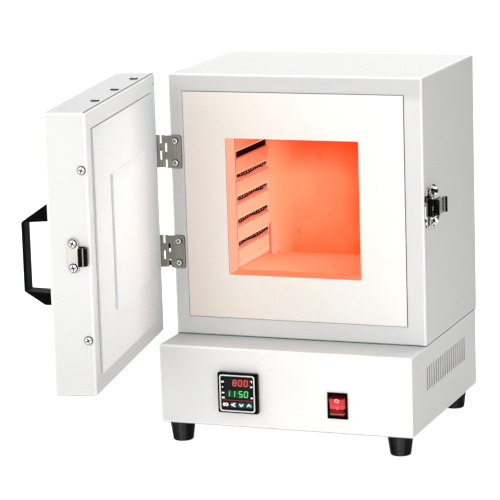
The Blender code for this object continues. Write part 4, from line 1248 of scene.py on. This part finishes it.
def dress_frame():
    dress(painted_steel("white_powder_coat", 227).material, "base_plate", "back_cover")
    dress(body_steel(), "body_shell")
    dress(cabinet_steel(), "base_shell")
    dress(door_steel(), "door_shell")
    dress(front_board_material(), "front_board")
    door_board = fibre_board("door_fibre_board", rgb(246, 251, 250), rgb(250, 253, 252), rgb(240, 242, 240))
    shade_door_board(door_board)
    dress(door_board.material, "door_board")
    dress(wool_material(), "insulation", "door_insulation")
    dress(back_wall_material(), "muffle_back")
    floor_centre = (CHAMBER_LOW.x + 0.03, CHAMBER_LOW.y, CHAMBER_LOW.z)
    dress(glow_material("glowing_floor", rgb(255, 176, 134), rgb(254, 104, 56), floor_centre, 0.17).material,
          "muffle_floor")
    roof_centre = (CHAMBER_LOW.x, CHAMBER_LOW.y, CHAMBER_HIGH.z)
    dress(glow_material("glowing_roof", rgb(255, 120, 70), rgb(255, 84, 32), roof_centre, 0.1).material,
          "muffle_roof")
    dress(heater_wall_material("left", CHAMBER_LOW.x, -1), "muffle_left")
    dress(heater_wall_material("right", CHAMBER_HIGH.x, 1), "muffle_right")
    wire = heater_material()
    make_coil("left", CHAMBER_LOW.x, -1, wire)
    make_coil("right", CHAMBER_HIGH.x, 1, wire)
    dress(sheath_material(), "thermocouple_sheath")
    dress(nylon(), "thermocouple_head", "terminal_block")
    dress(rubber(), *[n for n in NODES if n.startswith("foot_")])
    dress(black_plastic("gloss_black_plastic", 0.02, 0.3, 1, 5), "controller_case", "rocker_frame")
    dress(black_plastic("black_plastic", 0.06, 0.4, 6, 16, 0.15), "solid_state_relay", "power_inlet")
    dress(handle_plastic(), "door_handle")
    dress(stainless(), *[n for n in NODES if n.startswith("hinge_") and "screw" not in n])
    dress(chrome("keeper_plating", keeper_roll), "keeper")
    dress(facet_chrome("latch_plating", 260), "latch_base", "latch_pin", "claw_pin")
    dress(grip_steel("lever_steel", lever_roll), "latch_lever")
    dress(grip_steel("claw_steel", claw_ends), "latch_claw")
    dress(red_rocker(), "rocker_button")
    dress(controller_plastic(), "controller_face")
    dress(key_cap("maroon_key", rgb(70, 10, 30), rgb(98, 16, 44)), "key_set")
    dress(key_cap("teal_key", rgb(14, 66, 72), rgb(34, 106, 108)), "key_left", "key_down", "key_up")


# ---------------- floor


def make_floor():
    """A pale studio floor just under the feet, bright enough to read as white."""
    bm = bmesh.new()
    bmesh.ops.create_grid(bm, x_segments=2, y_segments=2, size=12)
    mesh = bpy.data.meshes.new("floor")
    bm.to_mesh(mesh)
    bm.free()
    floor = bpy.data.objects.new("floor", mesh)
    floor.location.z = CAD_BOX[0][2]
    SCENE.collection.objects.link(floor)
    s = Shader("studio_floor")
    s.set(Base_Color=s.mix(s.noise(3, 2), grey(228), grey(234)), Roughness=0.9)
    seen = s.node("ShaderNodeLightPath").outputs["Is Camera Ray"]
    s.set(Specular_IOR_Level=0.1, Emission_Color=WHITE)
    s.set(Emission_Strength=s.plus(s.times(seen, 0.62), 0.16))
    mesh.materials.append(s.material)


make_camera()
make_studio()
make_floor()
dress_frame()
make_screws()
make_controller()
make_rocker_marks()
make_hinge_gap_shades()
make_rivet()
make_latch_gussets()
make_hinge_shadow_pads()
make_seam_shade()
